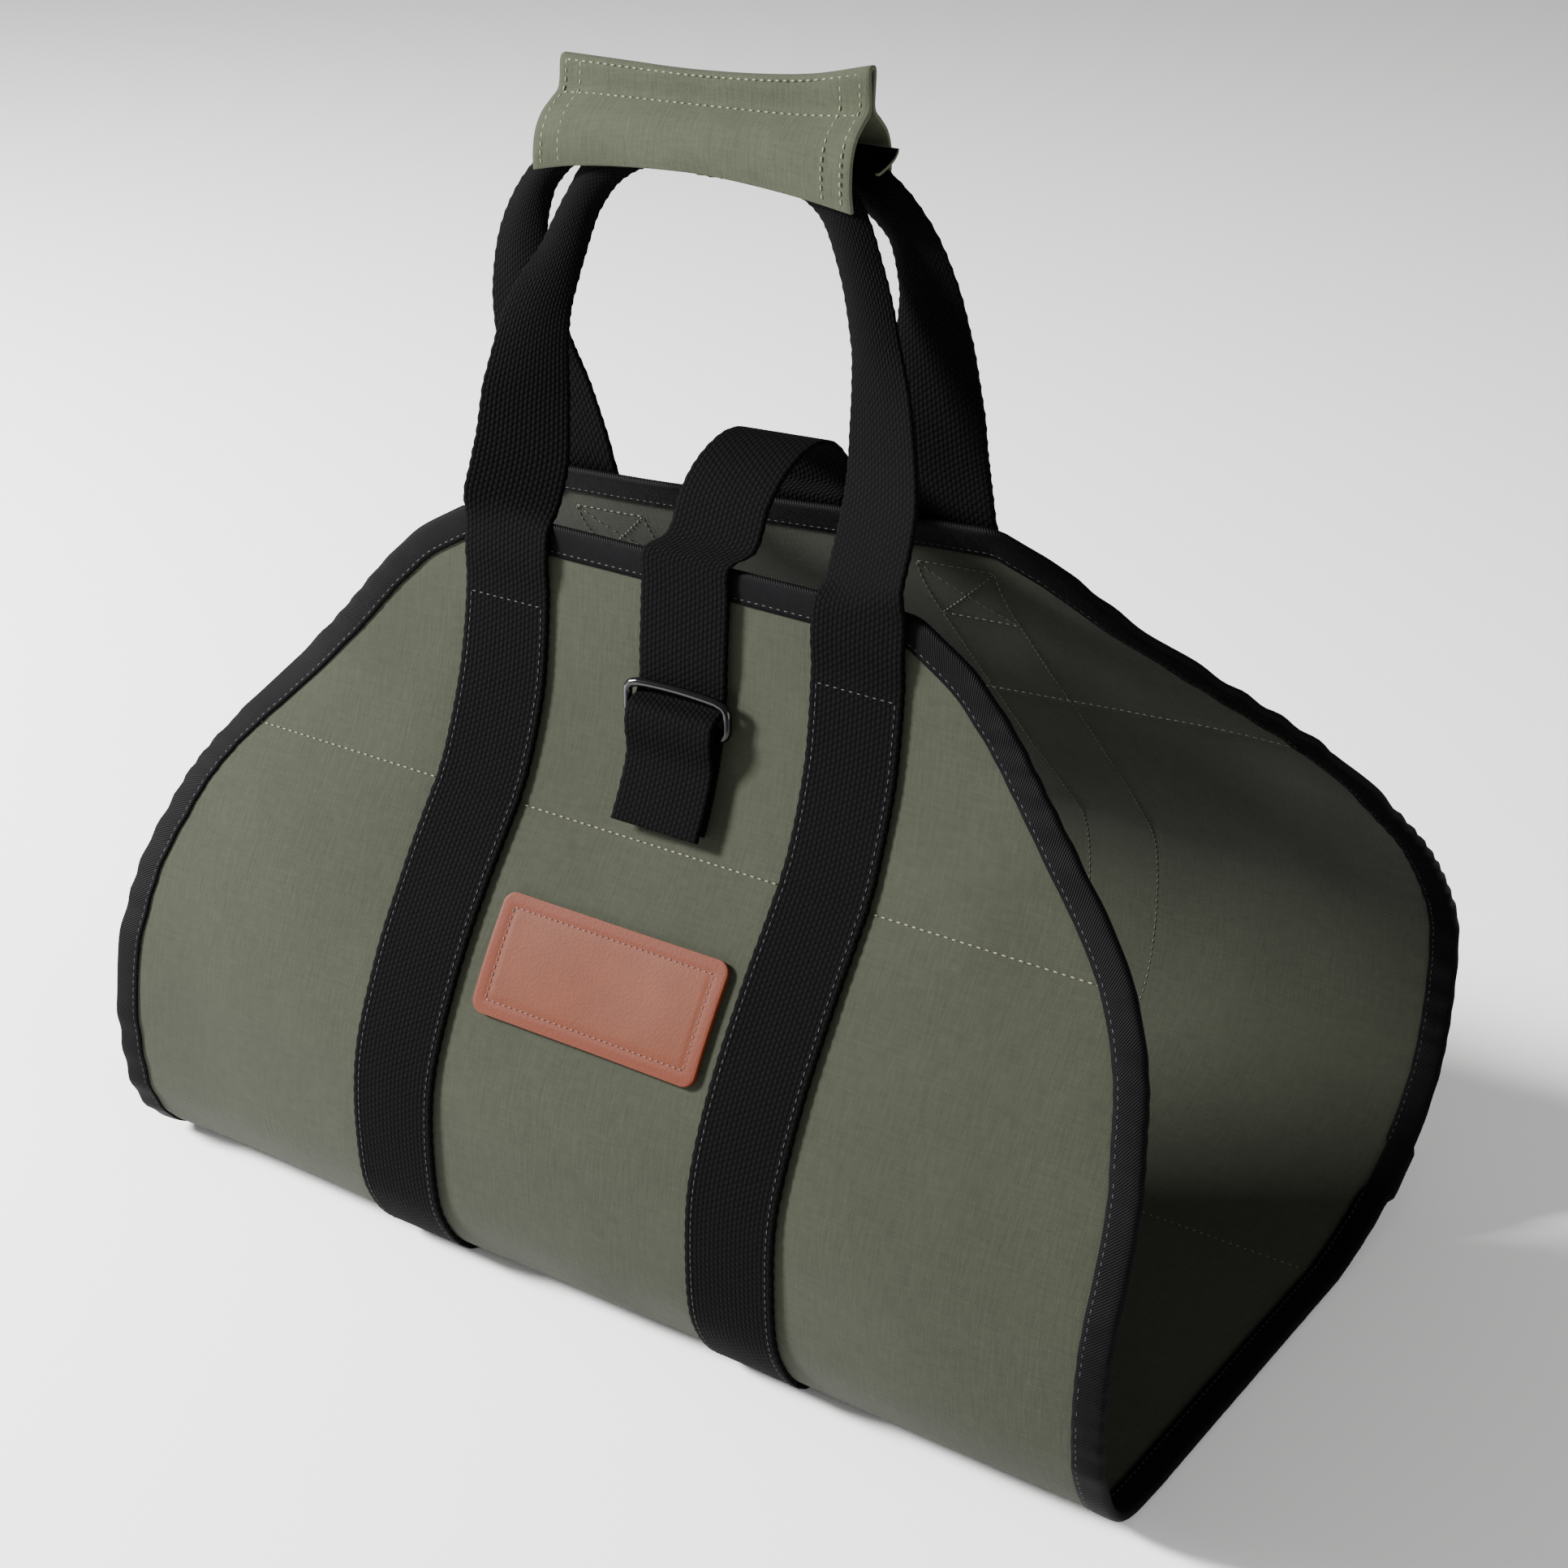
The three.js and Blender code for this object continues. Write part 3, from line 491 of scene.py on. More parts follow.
def section_at(run):
    """Place (y, z) of the sheet's outer face at a run, straight on past its ends."""
    held = np.clip(run, 0, SHEET_LENGTH)
    near = np.clip(held, 1 * MM, SHEET_LENGTH - 1 * MM)
    spot = [np.interp(held, SECTION_RUNS, SECTION_PLACES[:, axis]) for axis in (1, 2)]
    for index, axis in enumerate((1, 2)):
        ahead = np.interp(near + 1 * MM, SECTION_RUNS, SECTION_PLACES[:, axis])
        behind = np.interp(near - 1 * MM, SECTION_RUNS, SECTION_PLACES[:, axis])
        spot[index] = spot[index] + (run - held) * (ahead - behind) / (2 * MM)
    return np.stack([spot[0] + SHIFT_Y, np.maximum(spot[1], 0) + WEBBING_LIFT + SHIFT_Z], axis=-1)


def half_width(run):
    drop = np.clip(np.minimum(run, SHEET_LENGTH - run), 0, TAPER_DROP)
    return np.interp(drop, TAPER_PLACES[:, 0], TAPER_PLACES[:, 1])


def swell(x, run):
    total = np.zeros(np.broadcast(x, run).shape)
    for row in SWELLS:
        across = (x / (CANVAS_WIDTH / 2) - row["x"]) / row["wide"]
        along = (run / SHEET_LENGTH - row["run"]) / row["long"]
        total = total + row["out"] * BODY_DEPTH * np.exp(-across ** 2 - along ** 2)
    return total


ripple = np.vectorize(lambda x, y, z: noise.noise(Vector((x, y, z))))


def unevenness(x, run):
    """Soft waves of the canvas, gathers along the tape and dips along the seams."""
    drape = sizes().drape * ripple(x / (95 * MM), run / (80 * MM), 3.1)
    drape = drape + 0.35 * sizes().drape * ripple(x / (34 * MM), run / (30 * MM), 8.4)
    inset = np.maximum(half_width(run) - np.abs(x), 0)
    phase = run / (15 * MM) + 2.5 * ripple(run / (60 * MM), np.sign(x), 1.7)
    gather = sizes().pucker * np.sin(2 * np.pi * phase) * np.exp(-inset / (14 * MM))
    gather = gather * ease(np.minimum(run, SHEET_LENGTH - run) / (40 * MM))
    seam = np.minimum(np.abs(run - SEAM_RUN), np.abs(run - SHEET_LENGTH + SEAM_RUN))
    on_floor = ease((section_at(run)[..., 1] - WEBBING_LIFT) / (12 * MM))
    return (drape + gather) * (0.15 + 0.85 * on_floor) - 0.5 * MM * np.exp(-(seam / (2 * MM)) ** 2)


def on_sheet(x, run, rise):
    """Places off the sheet: x across, run along it from the front top edge, rise outwards."""
    x, run, rise = np.broadcast_arrays(*(np.asarray(v, float) for v in (x, run, rise)))
    along = unit(section_at(run + 2 * MM) - section_at(run - 2 * MM))
    out = np.stack([along[..., 1], -along[..., 0]], axis=-1)
    lift = rise + swell(x, run) + unevenness(x, run)
    spot = section_at(run) + out * lift[..., None]
    held = np.interp(run, SECTION_RUNS, SECTION_ROWS)
    every = np.arange(len(SECTION))
    lean = np.interp(held, every, column(SECTION, "lean")) * CANVAS_WIDTH
    tilt = np.interp(held, every, column(SECTION, "tilt"))
    return np.stack([x + lean, spot[..., 0], spot[..., 1] + tilt * x], axis=-1)


# Meshes and pieces

def sheet_mesh(name, spots, flat, outwards=None, joined=False):
    """A mesh laid over a grid of spots, whose UV map is the flat cloth in metres.
    outwards is a direction that the face at the middle of the grid looks to."""
    down, across = spots.shape[:2]
    bm = bmesh.new()
    bmesh.ops.create_grid(bm, x_segments=across - 1, y_segments=down - 1, size=0.5)
    if len(bm.verts) != down * across:
        raise RuntimeError(f"{name}: the grid has {len(bm.verts)} corners")
    place = {}
    for vert in bm.verts:
        col = round((vert.co.x + 0.5) * (across - 1))
        row = round((vert.co.y + 0.5) * (down - 1))
        place[vert] = (row, col)
    layer = bm.loops.layers.uv.new("flat")
    for face in bm.faces:
        face.smooth = True
        for loop in face.loops:
            loop[layer].uv = flat[place[loop.vert]]
    for vert, spot in place.items():
        vert.co = spots[spot]
    bm.normal_update()
    if outwards is not None:
        middle = next(v for v, spot in place.items() if spot == (down // 2, across // 2))
        if middle.normal.dot(Vector(outwards)) < 0:
            bmesh.ops.reverse_faces(bm, faces=bm.faces)
    if joined:
        bmesh.ops.remove_doubles(bm, verts=bm.verts, dist=0.01 * MM)
        bmesh.ops.recalc_face_normals(bm, faces=bm.faces)
    return mesh_object(name, bm)


def mesh_object(name, bm):
    mesh = bpy.data.meshes.new(name)
    bm.to_mesh(mesh)
    bm.free()
    piece = bpy.data.objects.new(name, mesh)
    bpy.context.scene.collection.objects.link(piece)
    return piece


def wall(piece, thickness, offset, inside=0, rim=0, edge=0.0):
    """Gives a sheet its thickness, and rounds its cut edges. inside and rim are the places
    of the materials of its inner face and its cut edge."""
    solid = piece.modifiers.new("wall", "SOLIDIFY")
    solid.thickness = thickness
    solid.offset = offset
    solid.use_even_offset = True
    solid.material_offset = inside
    solid.material_offset_rim = rim
    if edge:
        bevel = piece.modifiers.new("soft edge", "BEVEL")
        bevel.width = edge
        bevel.segments = 2
        bevel.limit_method = "ANGLE"
        bevel.angle_limit = math.radians(60)


def settle(piece, materials, slot, *nodes):
    """Gives a piece its materials, its body and the nodes it stands for. slot is not used."""
    for material in materials:
        piece.data.materials.append(material)
    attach(piece, "root")
    if nodes:
        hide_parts(*nodes)
    return piece


# Materials

def add(tree, kind, inputs=None, output=0, **settings):
    """Adds a node with its settings, and its values or links by input. Gives one output."""
    node = tree.nodes.new("ShaderNode" + kind)
    for name, value in settings.items():
        setattr(node, name, value)
    for name, value in (inputs or {}).items():
        if isinstance(value, bpy.types.NodeSocket):
            tree.links.new(value, node.inputs[name])
        else:
            node.inputs[name].default_value = value
    return node.outputs[output] if node.outputs else None


def new_material(name):
    """An empty material and its node tree."""
    material = bpy.data.materials.new(name)
    material.use_nodes = True
    material.node_tree.nodes.clear()
    return material, material.node_tree


def surface(tree, inputs):
    """Gives a material its surface."""
    add(tree, "OutputMaterial", {"Surface": add(tree, "BsdfPrincipled", inputs)})


def cloth_axes(tree):
    """The place on the flat cloth, and its two directions in metres."""
    flat = add(tree, "UVMap", output="UV", uv_map="flat")
    return flat, *(add(tree, "SeparateXYZ", {"Vector": flat}, axis) for axis in "XY")


def tint(colour, scale):
    return tuple(min(1.0, part * scale) for part in colour)


def cloud(tree, vector, size, detail=2.0, stretch=(1, 1, 1)):
    """Soft blotches of that size in metres, from 0 to 1."""
    scale = tuple(part / size for part in stretch)
    scaled = add(tree, "Mapping", {"Vector": vector, "Scale": scale})
    inputs = {"Vector": scaled, "Scale": 1.0, "Detail": detail, "Roughness": 0.6}
    return add(tree, "TexNoise", inputs, "Fac")


def shades(tree, share, low, high, dark, light):
    """A colour that goes from dark to light as the share goes from low to high."""
    part = add(tree, "MapRange", {"Value": share, "From Min": low, "From Max": high})
    return add(tree, "Mix", {0: part, 6: dark, 7: light}, 2, data_type="RGBA")


def tints(tree, share, low, high, colour, dark, light):
    """Shades of one colour, from dark to light times it."""
    return shades(tree, share, low, high, rgba(tint(colour, dark)), rgba(tint(colour, light)))


def duck_canvas(name, colour):
    """Waxed cotton duck, plain woven from doubled yarn: matt, with a fine grain and faint
    scuffed patches. Its 0.5 mm yarn is drawn at 1 mm so that it shows."""
    yarn = 1.0 * MM
    slub = 1.4 * MM
    material, tree = new_material(name)
    flat, across, along = cloth_axes(tree)
    waves = []
    for way in (across, along):
        turns = add(tree, "Math", {0: way, 1: 2 * math.pi / yarn}, operation="MULTIPLY")
        waves.append(add(tree, "Math", {0: turns}, operation="SINE"))
    weave = add(tree, "Math", {0: waves[0], 1: waves[1]}, operation="MULTIPLY")
    warp = cloud(tree, flat, slub, stretch=(1, 0.12, 1))
    weft = cloud(tree, flat, slub, stretch=(0.12, 1, 1))
    slubs = add(tree, "Math", {0: warp, 1: weft}, operation="ADD")
    grain = add(tree, "Math", {0: weave, 1: 0.22, 2: slubs}, operation="MULTIPLY_ADD")
    scuffs = cloud(tree, flat, 55 * MM, detail=4.0)
    speckle = cloud(tree, flat, 4 * MM, detail=3.0)
    faint = add(tree, "Math", {0: speckle, 1: 0.4}, operation="MULTIPLY")
    patchy = add(tree, "Math", {0: scuffs, 1: 0.6, 2: faint}, operation="MULTIPLY_ADD")
    body = tints(tree, patchy, 0.36, 0.64, colour, 0.84, 1.14)
    yarns = tints(tree, grain, 0.62, 1.38, colour, 0.74, 1.24)
    surface(tree, {
        "Base Color": add(tree, "Mix", {0: 0.5, 6: body, 7: yarns}, 2, data_type="RGBA"),
        "Roughness": 0.92,
        "Specular IOR Level": 0.1,
        "Sheen Weight": 0.03,
        "Sheen Roughness": 0.5,
        "Normal": add(tree, "Bump", {"Height": grain, "Distance": 0.25 * MM, "Strength": 0.55}),
    })
    return material


def cotton_webbing(name, colour):
    """Heavy cotton webbing: near-black ribs of yarn whose crowns catch the light in rows
    of small flecks, set half a step apart from rib to rib."""
    material, tree = new_material(name)
    flat, across, along = cloth_axes(tree)
    ribs = add(tree, "Math", {0: across, 1: WEBBING_RIB}, operation="DIVIDE")
    rib = add(tree, "Math", {0: ribs}, operation="FLOOR")
    picks = add(tree, "Math", {0: along, 1: WEBBING_PICK}, operation="DIVIDE")
    picks = add(tree, "Math", {0: rib, 1: 0.5, 2: picks}, operation="MULTIPLY_ADD")
    crowns = []
    for part in (ribs, picks):
        turns = add(tree, "Math", {0: part, 1: math.pi}, operation="MULTIPLY")
        wave = add(tree, "Math", {0: turns}, operation="SINE")
        crowns.append(add(tree, "Math", {0: wave}, operation="ABSOLUTE"))
    crown = add(tree, "Math", {0: crowns[0], 1: crowns[1]}, operation="MULTIPLY")
    narrow = add(tree, "Math", {0: crown, 1: 1.6}, operation="POWER")
    fibre = cloud(tree, flat, 1.0 * MM, detail=3.0)
    fibre = add(tree, "MapRange", {"Value": fibre, "From Min": 0.25, "From Max": 0.75})
    lit = add(tree, "Math", {0: narrow, 1: fibre}, operation="MULTIPLY")
    surface(tree, {
        "Base Color": tints(tree, lit, 0.0, 1.0, colour, 0.42, 2.3),
        "Roughness": 0.82,
        "Specular IOR Level": 0.03,
        "Normal": add(tree, "Bump", {"Height": crown, "Distance": 0.35 * MM, "Strength": 0.8}),
    })
    return material


def twill_tape(name, colour):
    """Black twill tape: fine slanting ribs, dull."""
    twill = 1.1 * MM
    material, tree = new_material(name)
    flat, across, along = cloth_axes(tree)
    slant = add(tree, "Math", {0: across, 1: 0.8, 2: along}, operation="MULTIPLY_ADD")
    turns = add(tree, "Math", {0: slant, 1: 2 * math.pi / twill}, operation="MULTIPLY")
    ribs = add(tree, "Math", {0: turns}, operation="SINE")
    fibre = cloud(tree, flat, 6 * MM, detail=4.0)
    share = add(tree, "Math", {0: ribs, 1: 0.16, 2: fibre}, operation="MULTIPLY_ADD")
    surface(tree, {
        "Base Color": tints(tree, share, 0.25, 0.8, colour, 0.6, 1.35),
        "Roughness": 0.66,
        "Specular IOR Level": 0.04,
        "Normal": add(tree, "Bump", {"Height": ribs, "Distance": 0.15 * MM, "Strength": 0.5}),
    })
    return material


def tanned_leather(name, colour):
    """Vegetable-tanned leather: tan, waxed and a little blotched, redder and darker past
    the stitching where the edge is pressed, with fine pores."""
    pore = 1.1 * MM
    soft = 0.8 * MM
    material, tree = new_material(name)
    flat, across, along = cloth_axes(tree)
    past = []
    for way, size in ((across, PATCH_WIDTH), (along, PATCH_HEIGHT)):
        far = add(tree, "Math", {0: way}, operation="ABSOLUTE")
        past.append(add(tree, "Math", {0: far, 1: size / 2}, operation="SUBTRACT"))
    rim = add(tree, "Math", {0: past[0], 1: past[1]}, operation="MAXIMUM")
    blotch = cloud(tree, flat, 16 * MM, detail=5.0)
    face = tints(tree, blotch, 0.3, 0.7, colour, 0.88, 1.08)
    border = rgba((colour[0] * 0.98, colour[1] * 0.80, colour[2] * 0.72))
    pores = add(tree, "TexVoronoi", {"Vector": flat, "Scale": 1 / pore}, "Distance", feature="F1")
    surface(tree, {
        "Base Color": shades(tree, rim, -PATCH_INSET - soft, -PATCH_INSET + soft, face, border),
        "Roughness": 0.6,
        "Specular IOR Level": 0.12,
        "Normal": add(tree, "Bump", {"Height": pores, "Distance": 0.12 * MM, "Strength": 0.35}),
    })
    return material


def spun_thread(name, colour):
    """Spun polyester thread: dull, a little lighter and darker from stitch to stitch."""
    material, tree = new_material(name)
    dusty = cloud(tree, add(tree, "TexCoord", output="Object"), 7 * MM, detail=2.0)
    surface(tree, {
        "Base Color": tints(tree, dusty, 0.35, 0.65, colour, 0.75, 1.15),
        "Roughness": 0.7,
    })
    return material


def black_enamel(name):
    """Black baked enamel on steel wire: deep gloss with very faint orange peel."""
    material, tree = new_material(name)
    peel = cloud(tree, add(tree, "TexCoord", output="Object"), 1.5 * MM, detail=1.0)
    dark, light = (rgba(linear(colour)) for colour in ("#020203", "#070708"))
    surface(tree, {
        "Base Color": shades(tree, peel, 0.0, 1.0, dark, light),
        "Roughness": 0.12,
        "Specular IOR Level": 0.3,
        "Normal": add(tree, "Bump", {"Height": peel, "Distance": 0.02 * MM, "Strength": 0.3}),
    })
    return material


# Canvas sheet

class CARRIER_OT_canvas(bpy.types.Operator):
    """Lay out the canvas sheet"""

    bl_idname = "carrier.canvas"
    bl_label = "Canvas"

    def execute(self, context):
        runs = np.linspace(0, SHEET_LENGTH, 301)
        shares = np.linspace(-1, 1, 121)
        run = runs[:, None] + 0 * shares[None, :]
        x = half_width(run) * shares[None, :]
        piece = sheet_mesh(
            "canvas", on_sheet(x, run, 0), np.stack([x, run], axis=-1), outwards=(0, 0, -1),
        )
        wall(piece, sizes().canvas_wall, -1, inside=1)
        materials = [
            duck_canvas("waxed cotton duck", tuple(colours().canvas)),
            # The inner face takes the darker inside colour, which paints shade inside the carrier
            duck_canvas("waxed cotton duck, inner face", tuple(colours().canvas_inside)),
        ]
        settle(piece, materials, "canvas", "canvas_body")
        return {"FINISHED"}


# Edge tape

def edge_route(step=TAPE_STEP):
    """Places (x, run) round the sheet's edge, and outward directions, at even steps."""
    side = np.linspace(0, SHEET_LENGTH, 601)
    top = np.linspace(-half_width(0), half_width(0), 60)[1:-1]
    chain = np.concatenate([
        np.stack([top, np.zeros_like(top)], axis=1),
        np.stack([half_width(side), side], axis=1),
        np.stack([top[::-1], np.full_like(top, SHEET_LENGTH)], axis=1),
        np.stack([-half_width(side[::-1]), side[::-1]], axis=1),
    ])
    loop = np.vstack([chain, chain[:1]])
    loop = np.column_stack([loop, np.zeros(len(loop))])
    even = spaced(loop, step)[0][:-1, :2]
    smooth = sum(np.roll(even, shift, axis=0) for shift in (-1, 0, 1)) / 3
    along = unit(np.roll(smooth, -1, axis=0) - np.roll(smooth, 1, axis=0))
    return smooth, np.stack([along[:, 1], -along[:, 0]], axis=1)


def tape_fold():
    """The folded tape across its width: reach past the edge, rise, and flat width."""
    width = sizes().tape_width
    canvas = sizes().canvas_wall
    arc = TAPE_FACE + canvas / 2
    reach = np.array([-width, -0.85 * width, -0.7 * width, -0.45 * width, -0.2 * width])
    bulge = np.array([0.45, 0.55, 0.85, 1.0, 1.05]) * TAPE_FACE
    turns = np.linspace(np.pi / 2, -np.pi / 2, 7)
    reaches = np.concatenate([reach, arc * np.cos(turns), reach[::-1]])
    rises = np.concatenate([
        bulge, arc * np.sin(turns) - canvas / 2, -canvas - bulge[::-1],
    ])
    return reaches, rises, lengths(np.column_stack([reaches, rises]))


class CARRIER_OT_tape(bpy.types.Operator):
    """Fold the tape over the canvas's edge"""

    bl_idname = "carrier.tape"
    bl_label = "Edge tape"

    def execute(self, context):
        route, out = edge_route()
        route = np.vstack([route, route[:1]])
        out = np.vstack([out, out[:1]])
        reaches, rises, wide = tape_fold()
        share = route[:, 1] / SHEET_LENGTH
        lap = ease((share - TAPE_LAP_FROM) * 500) * ease((TAPE_LAP_TO - share) * 500)
        lap = (lap * (route[:, 0] > 0))[:, None]
        reach = reaches[None, :] + lap * TAPE_LAP
        middle = -sizes().canvas_wall / 2
        rise = middle + (rises[None, :] - middle) * (1 + 0.5 * lap)
        x = route[:, :1] + out[:, :1] * reach
        run = route[:, 1:] + out[:, 1:] * reach
        long = np.arange(len(route))[:, None] * TAPE_STEP
        flat = np.stack(np.broadcast_arrays(wide[None, :], long), axis=-1)
        piece = sheet_mesh("edge_tape", on_sheet(x, run, rise), flat, joined=True)
        wall(piece, sizes().tape_wall, 0)
        settle(piece, [twill_tape("black twill tape", tuple(colours().tape))], "tape", "edge_binding")
        return {"FINISHED"}


# Webbing

def strap_rise(run):
    """Rise of the webbing's middle over the canvas, more where it crosses the tape."""
    from_edge = np.minimum(run, SHEET_LENGTH - run)
    low = WEBBING_GAP + WEBBING_WALL / 2
    over = 1 - ease((from_edge - sizes().tape_width - 2 * MM) / (14 * MM))
    return low + TAPE_LIFT * over


def sewn_rows(x, runs, side, splay=0.0):
    """Rows of webbing laid on the sheet, which may fan out towards a top edge."""
    from_edge = np.minimum(runs, SHEET_LENGTH - runs)
    middle = x + splay * (1 - ease(from_edge / SPLAY_LENGTH))
    return on_sheet(
        middle[:, None] + side * WEBBING_SHARES[None, :] * WEBBING_WIDTH / 2,
        runs[:, None],
        strap_rise(runs)[:, None],
    )


def standing_rows(route, facing, before, after):
    """Rows of the webbing that stands free between the sheet and the sleeve."""
    top = section_at(np.array(0.0))[1]
    points = np.stack([
        column(route, "x") * STRAP_SPACING / 2,
        column(route, "y") * BODY_DEPTH + SHIFT_Y,
        column(route, "z") * HANDLE_RISE + top,
    ], axis=1)
    places, rows = spline(np.vstack([before, points, after]))
    middles, index = spaced(places, WEBBING_STEP)
    held = np.interp(index, np.arange(len(rows)), rows)
    every = np.arange(len(route) + 2)
    blend = {
        key: np.interp(held, every, np.pad(column(route, key), 1, mode="edge"))
        for key in ("width", "turn")
    }
    along = unit(np.gradient(middles, axis=0))
    out = np.array([0.0, facing, 0.0]) - along * along[:, 1:2] * facing
    out = unit(out)
    turn = np.radians(blend["turn"])[:, None]
    out = out * np.cos(turn) + np.cross(along, out) * np.sin(turn)
    across = unit(np.cross(along, out))
    curl = HANDLE_CURL * np.clip((1 - blend["width"]) / 0.5, 0, 1.3)
    shares = WEBBING_SHARES[None, :, None]
    reach = blend["width"][:, None, None] * WEBBING_WIDTH / 2 * shares
    bow = (shares ** 2 - 1 / 3) * curl[:, None, None] * facing
    rows = middles[:, None, :] + across[:, None, :] * reach + out[:, None, :] * bow
    return rows[1:-1]


def webbing_loop(name, route, facing, start, end, splay=0.0):
    """One loop of webbing, from under the carrier up to the handle and down again."""
    x = np.sign(route[0]["x"]) * STRAP_SPACING / 2
    runs = np.linspace(start, end, int(abs(end - start) / WEBBING_STEP))
    up = sewn_rows(x, runs, -facing)
    down = sewn_rows(-x, runs[::-1], facing, splay)
    standing = standing_rows(route, facing, up[-1].mean(axis=0), down[0].mean(axis=0))
    rows = np.concatenate([up, standing, down])
    rows = loosened(rows, slice(len(up) - 6, len(up) + 8))
    rows = loosened(rows, slice(len(up) + len(standing) - 8, len(up) + len(standing) + 6))
    runs = lengths(rows.mean(axis=1))
    piece = sheet_mesh(name, selvedge(rows, runs), strap_flat(runs))
    wall(piece, WEBBING_WALL, 0, edge=0.5 * MM)
    return piece


def strap_flat(runs):
    """The places on the flat webbing of rows at those runs along it."""
    across = WEBBING_SHARES[None, :] * WEBBING_WIDTH / 2
    return np.stack(np.broadcast_arrays(across, runs[:, None]), axis=-1)


def loosened(rows, part):
    """The rows with a bend eased over that part of them."""
    for _ in range(6):
        inner = rows[part]
        inner[1:-1] = (inner[:-2] + inner[1:-1] + inner[2:]) / 3
    return rows


def selvedge(rows, runs):
    """The rows with the small steps that the weft's turns leave along both edges."""
    across = unit(rows[:, -1] - rows[:, 0])
    for edge, side in ((0, -1), (-1, 1)):
        step = SELVEDGE_STEP * np.sin(2 * np.pi * runs / WEBBING_PICK + side)
        rows[:, edge] += across * (side * step)[:, None]
    return rows


class CARRIER_OT_webbing(bpy.types.Operator):
    """Run the two webbing loops round the sheet and up to the handles"""

    bl_idname = "carrier.webbing"
    bl_label = "Webbing"

    def execute(self, context):
        black = cotton_webbing("black cotton webbing", tuple(colours().webbing))
        middle = SHEET_LENGTH / 2
        half_gap = WEBBING_GAP / 2
        front = webbing_loop("front_loop", FRONT_LOOP, -1, middle - half_gap, -PAST_EDGE)
        back = webbing_loop(
            "back_loop", BACK_LOOP, 1, middle + half_gap, SHEET_LENGTH + PAST_EDGE, -SPLAY,
        )
        settle(front, [black], "webbing", "front_webbing")
        settle(back, [black], "webbing", "back_webbing")
        return {"FINISHED"}


# Sleeve

def sleeve_axis():
    """Place (y, z) of the line that the handles run along in the sleeve."""
    front = FRONT_LOOP[7]["y"] * BODY_DEPTH + SHIFT_Y
    return front + HANDLE_PITCH / 2, section_at(np.array(0.0))[1] + HANDLE_RISE


def sleeve_outline(share):
    """The sleeve's outline across the handles at a share of its length, from front foot
    to back foot."""
    y, z = sleeve_axis()
    at = column(SLEEVE, "x")
    value = {}
    for key in ("top", "bottom", "depth", "lean"):
        places = spline(np.stack([at, column(SLEEVE, key), 0 * at], axis=1))[0]
        value[key] = np.interp(share, places[:, 0], places[:, 1])
    hollow = value["depth"] * SLEEVE_DEPTH / 2 - SLEEVE_WALL
    height = (value["top"] - value["bottom"]) * SLEEVE_HEIGHT
    up = column(SLEEVE_SECTION, "up")
    reach = SLEEVE_WALL + column(SLEEVE_SECTION, "reach") * hollow
    up = np.concatenate([up, up[::-1]]) * height
    reach = np.concatenate([-reach, reach[::-1]])
    x = SLEEVE_X + share * SLEEVE_LENGTH + value["lean"] * up
    corners = np.stack([x, y + reach, z + value["bottom"] * SLEEVE_HEIGHT + up], axis=1)
    return spline(corners, steps=8)[0]


def sleeve_spot(share, up, side):
    """A place on the sleeve's outside, side -1 for the front and 1 for the back."""
    chain = sleeve_outline(share)[::-side]
    half = chain[:len(chain) // 2]
    z = half[0, 2] + up * (half[:, 2].max() - half[0, 2])
    return np.array([np.interp(z, half[:, 2], half[:, axis]) for axis in range(3)])


class CARRIER_OT_sleeve(bpy.types.Operator):
    """Wrap the sleeve round both handles"""

    bl_idname = "carrier.sleeve"
    bl_label = "Handle sleeve"

    def execute(self, context):
        stations = np.linspace(-0.5, 0.5, 57)
        rows = []
        for share in stations:
            chain = sleeve_outline(share)
            rows.append(spaced(chain, lengths(chain)[-1] / 80)[0][:81])
        rows = np.array(rows)
        soft = ripple(rows[..., 0] / (24 * MM), rows[..., 1] / (15 * MM), rows[..., 2] / (18 * MM))
        rows[..., 1] += 0.6 * MM * soft
        around = np.array([lengths(row) for row in rows])
        long = np.broadcast_to((stations * SLEEVE_LENGTH)[:, None], around.shape)
        flat = np.stack([long, around], axis=-1)
        piece = sheet_mesh("sleeve", rows, flat, outwards=(0, 0, 1))
        wall(piece, SLEEVE_CLOTH, -1, rim=1, edge=0.35 * MM)
        olive = duck_canvas("washed cotton duck", tuple(colours().sleeve))
        raw = duck_canvas("washed cotton duck, cut edge", tint(tuple(colours().sleeve), 1.35))
        settle(piece, [olive, raw], "sleeve", "handle_wrap")
        self.flap(olive, raw)
        return {"FINISHED"}

    def flap(self, olive, raw):
        """The hook-and-loop end past the sleeve's right end, its lower edge bent forwards."""
        low, high = (Vector(corner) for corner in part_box("wrap_flap"))
        along = np.linspace(0, 1, 45)[None, :]
        around = np.linspace(0, 1, 17)[:, None]
        past = ease((along - 0.78) / 0.22)
        x = low.x + along * (high.x - low.x) - 2 * MM * past * around ** 2
        z = high.z - around * (high.z - low.z) * (1 - 0.3 * past)
        y = (low.y + high.y) / 2 - FLAP_REACH * past * around ** 2
        black = cotton_webbing("black hook-and-loop tape", tint(tuple(colours().webbing), 0.9))
        flat = np.stack(np.broadcast_arrays(x, around * (high.z - low.z)), axis=-1)
        spots = np.stack(np.broadcast_arrays(x, y, z), axis=-1)
        piece = sheet_mesh("flap", spots, flat, outwards=(0, -1, 0))
        wall(piece, FLAP_WALL, 0, inside=1, rim=2, edge=0.3 * MM)
        settle(piece, [black, olive, raw], "webbing", "wrap_flap")


# Closing strap, tab and ring

def over_sheet(x, run, rise):
    """A place over the sheet for the middle of a flat strap, which rides on the sheet's
    highest line."""
    edge = WEBBING_WIDTH / 2
    lift = [swell(x + reach, run) + unevenness(x + reach, run) for reach in (-edge, 0, edge)]
    return on_sheet(x, run, rise + np.maximum.reduce(lift) - lift[1])


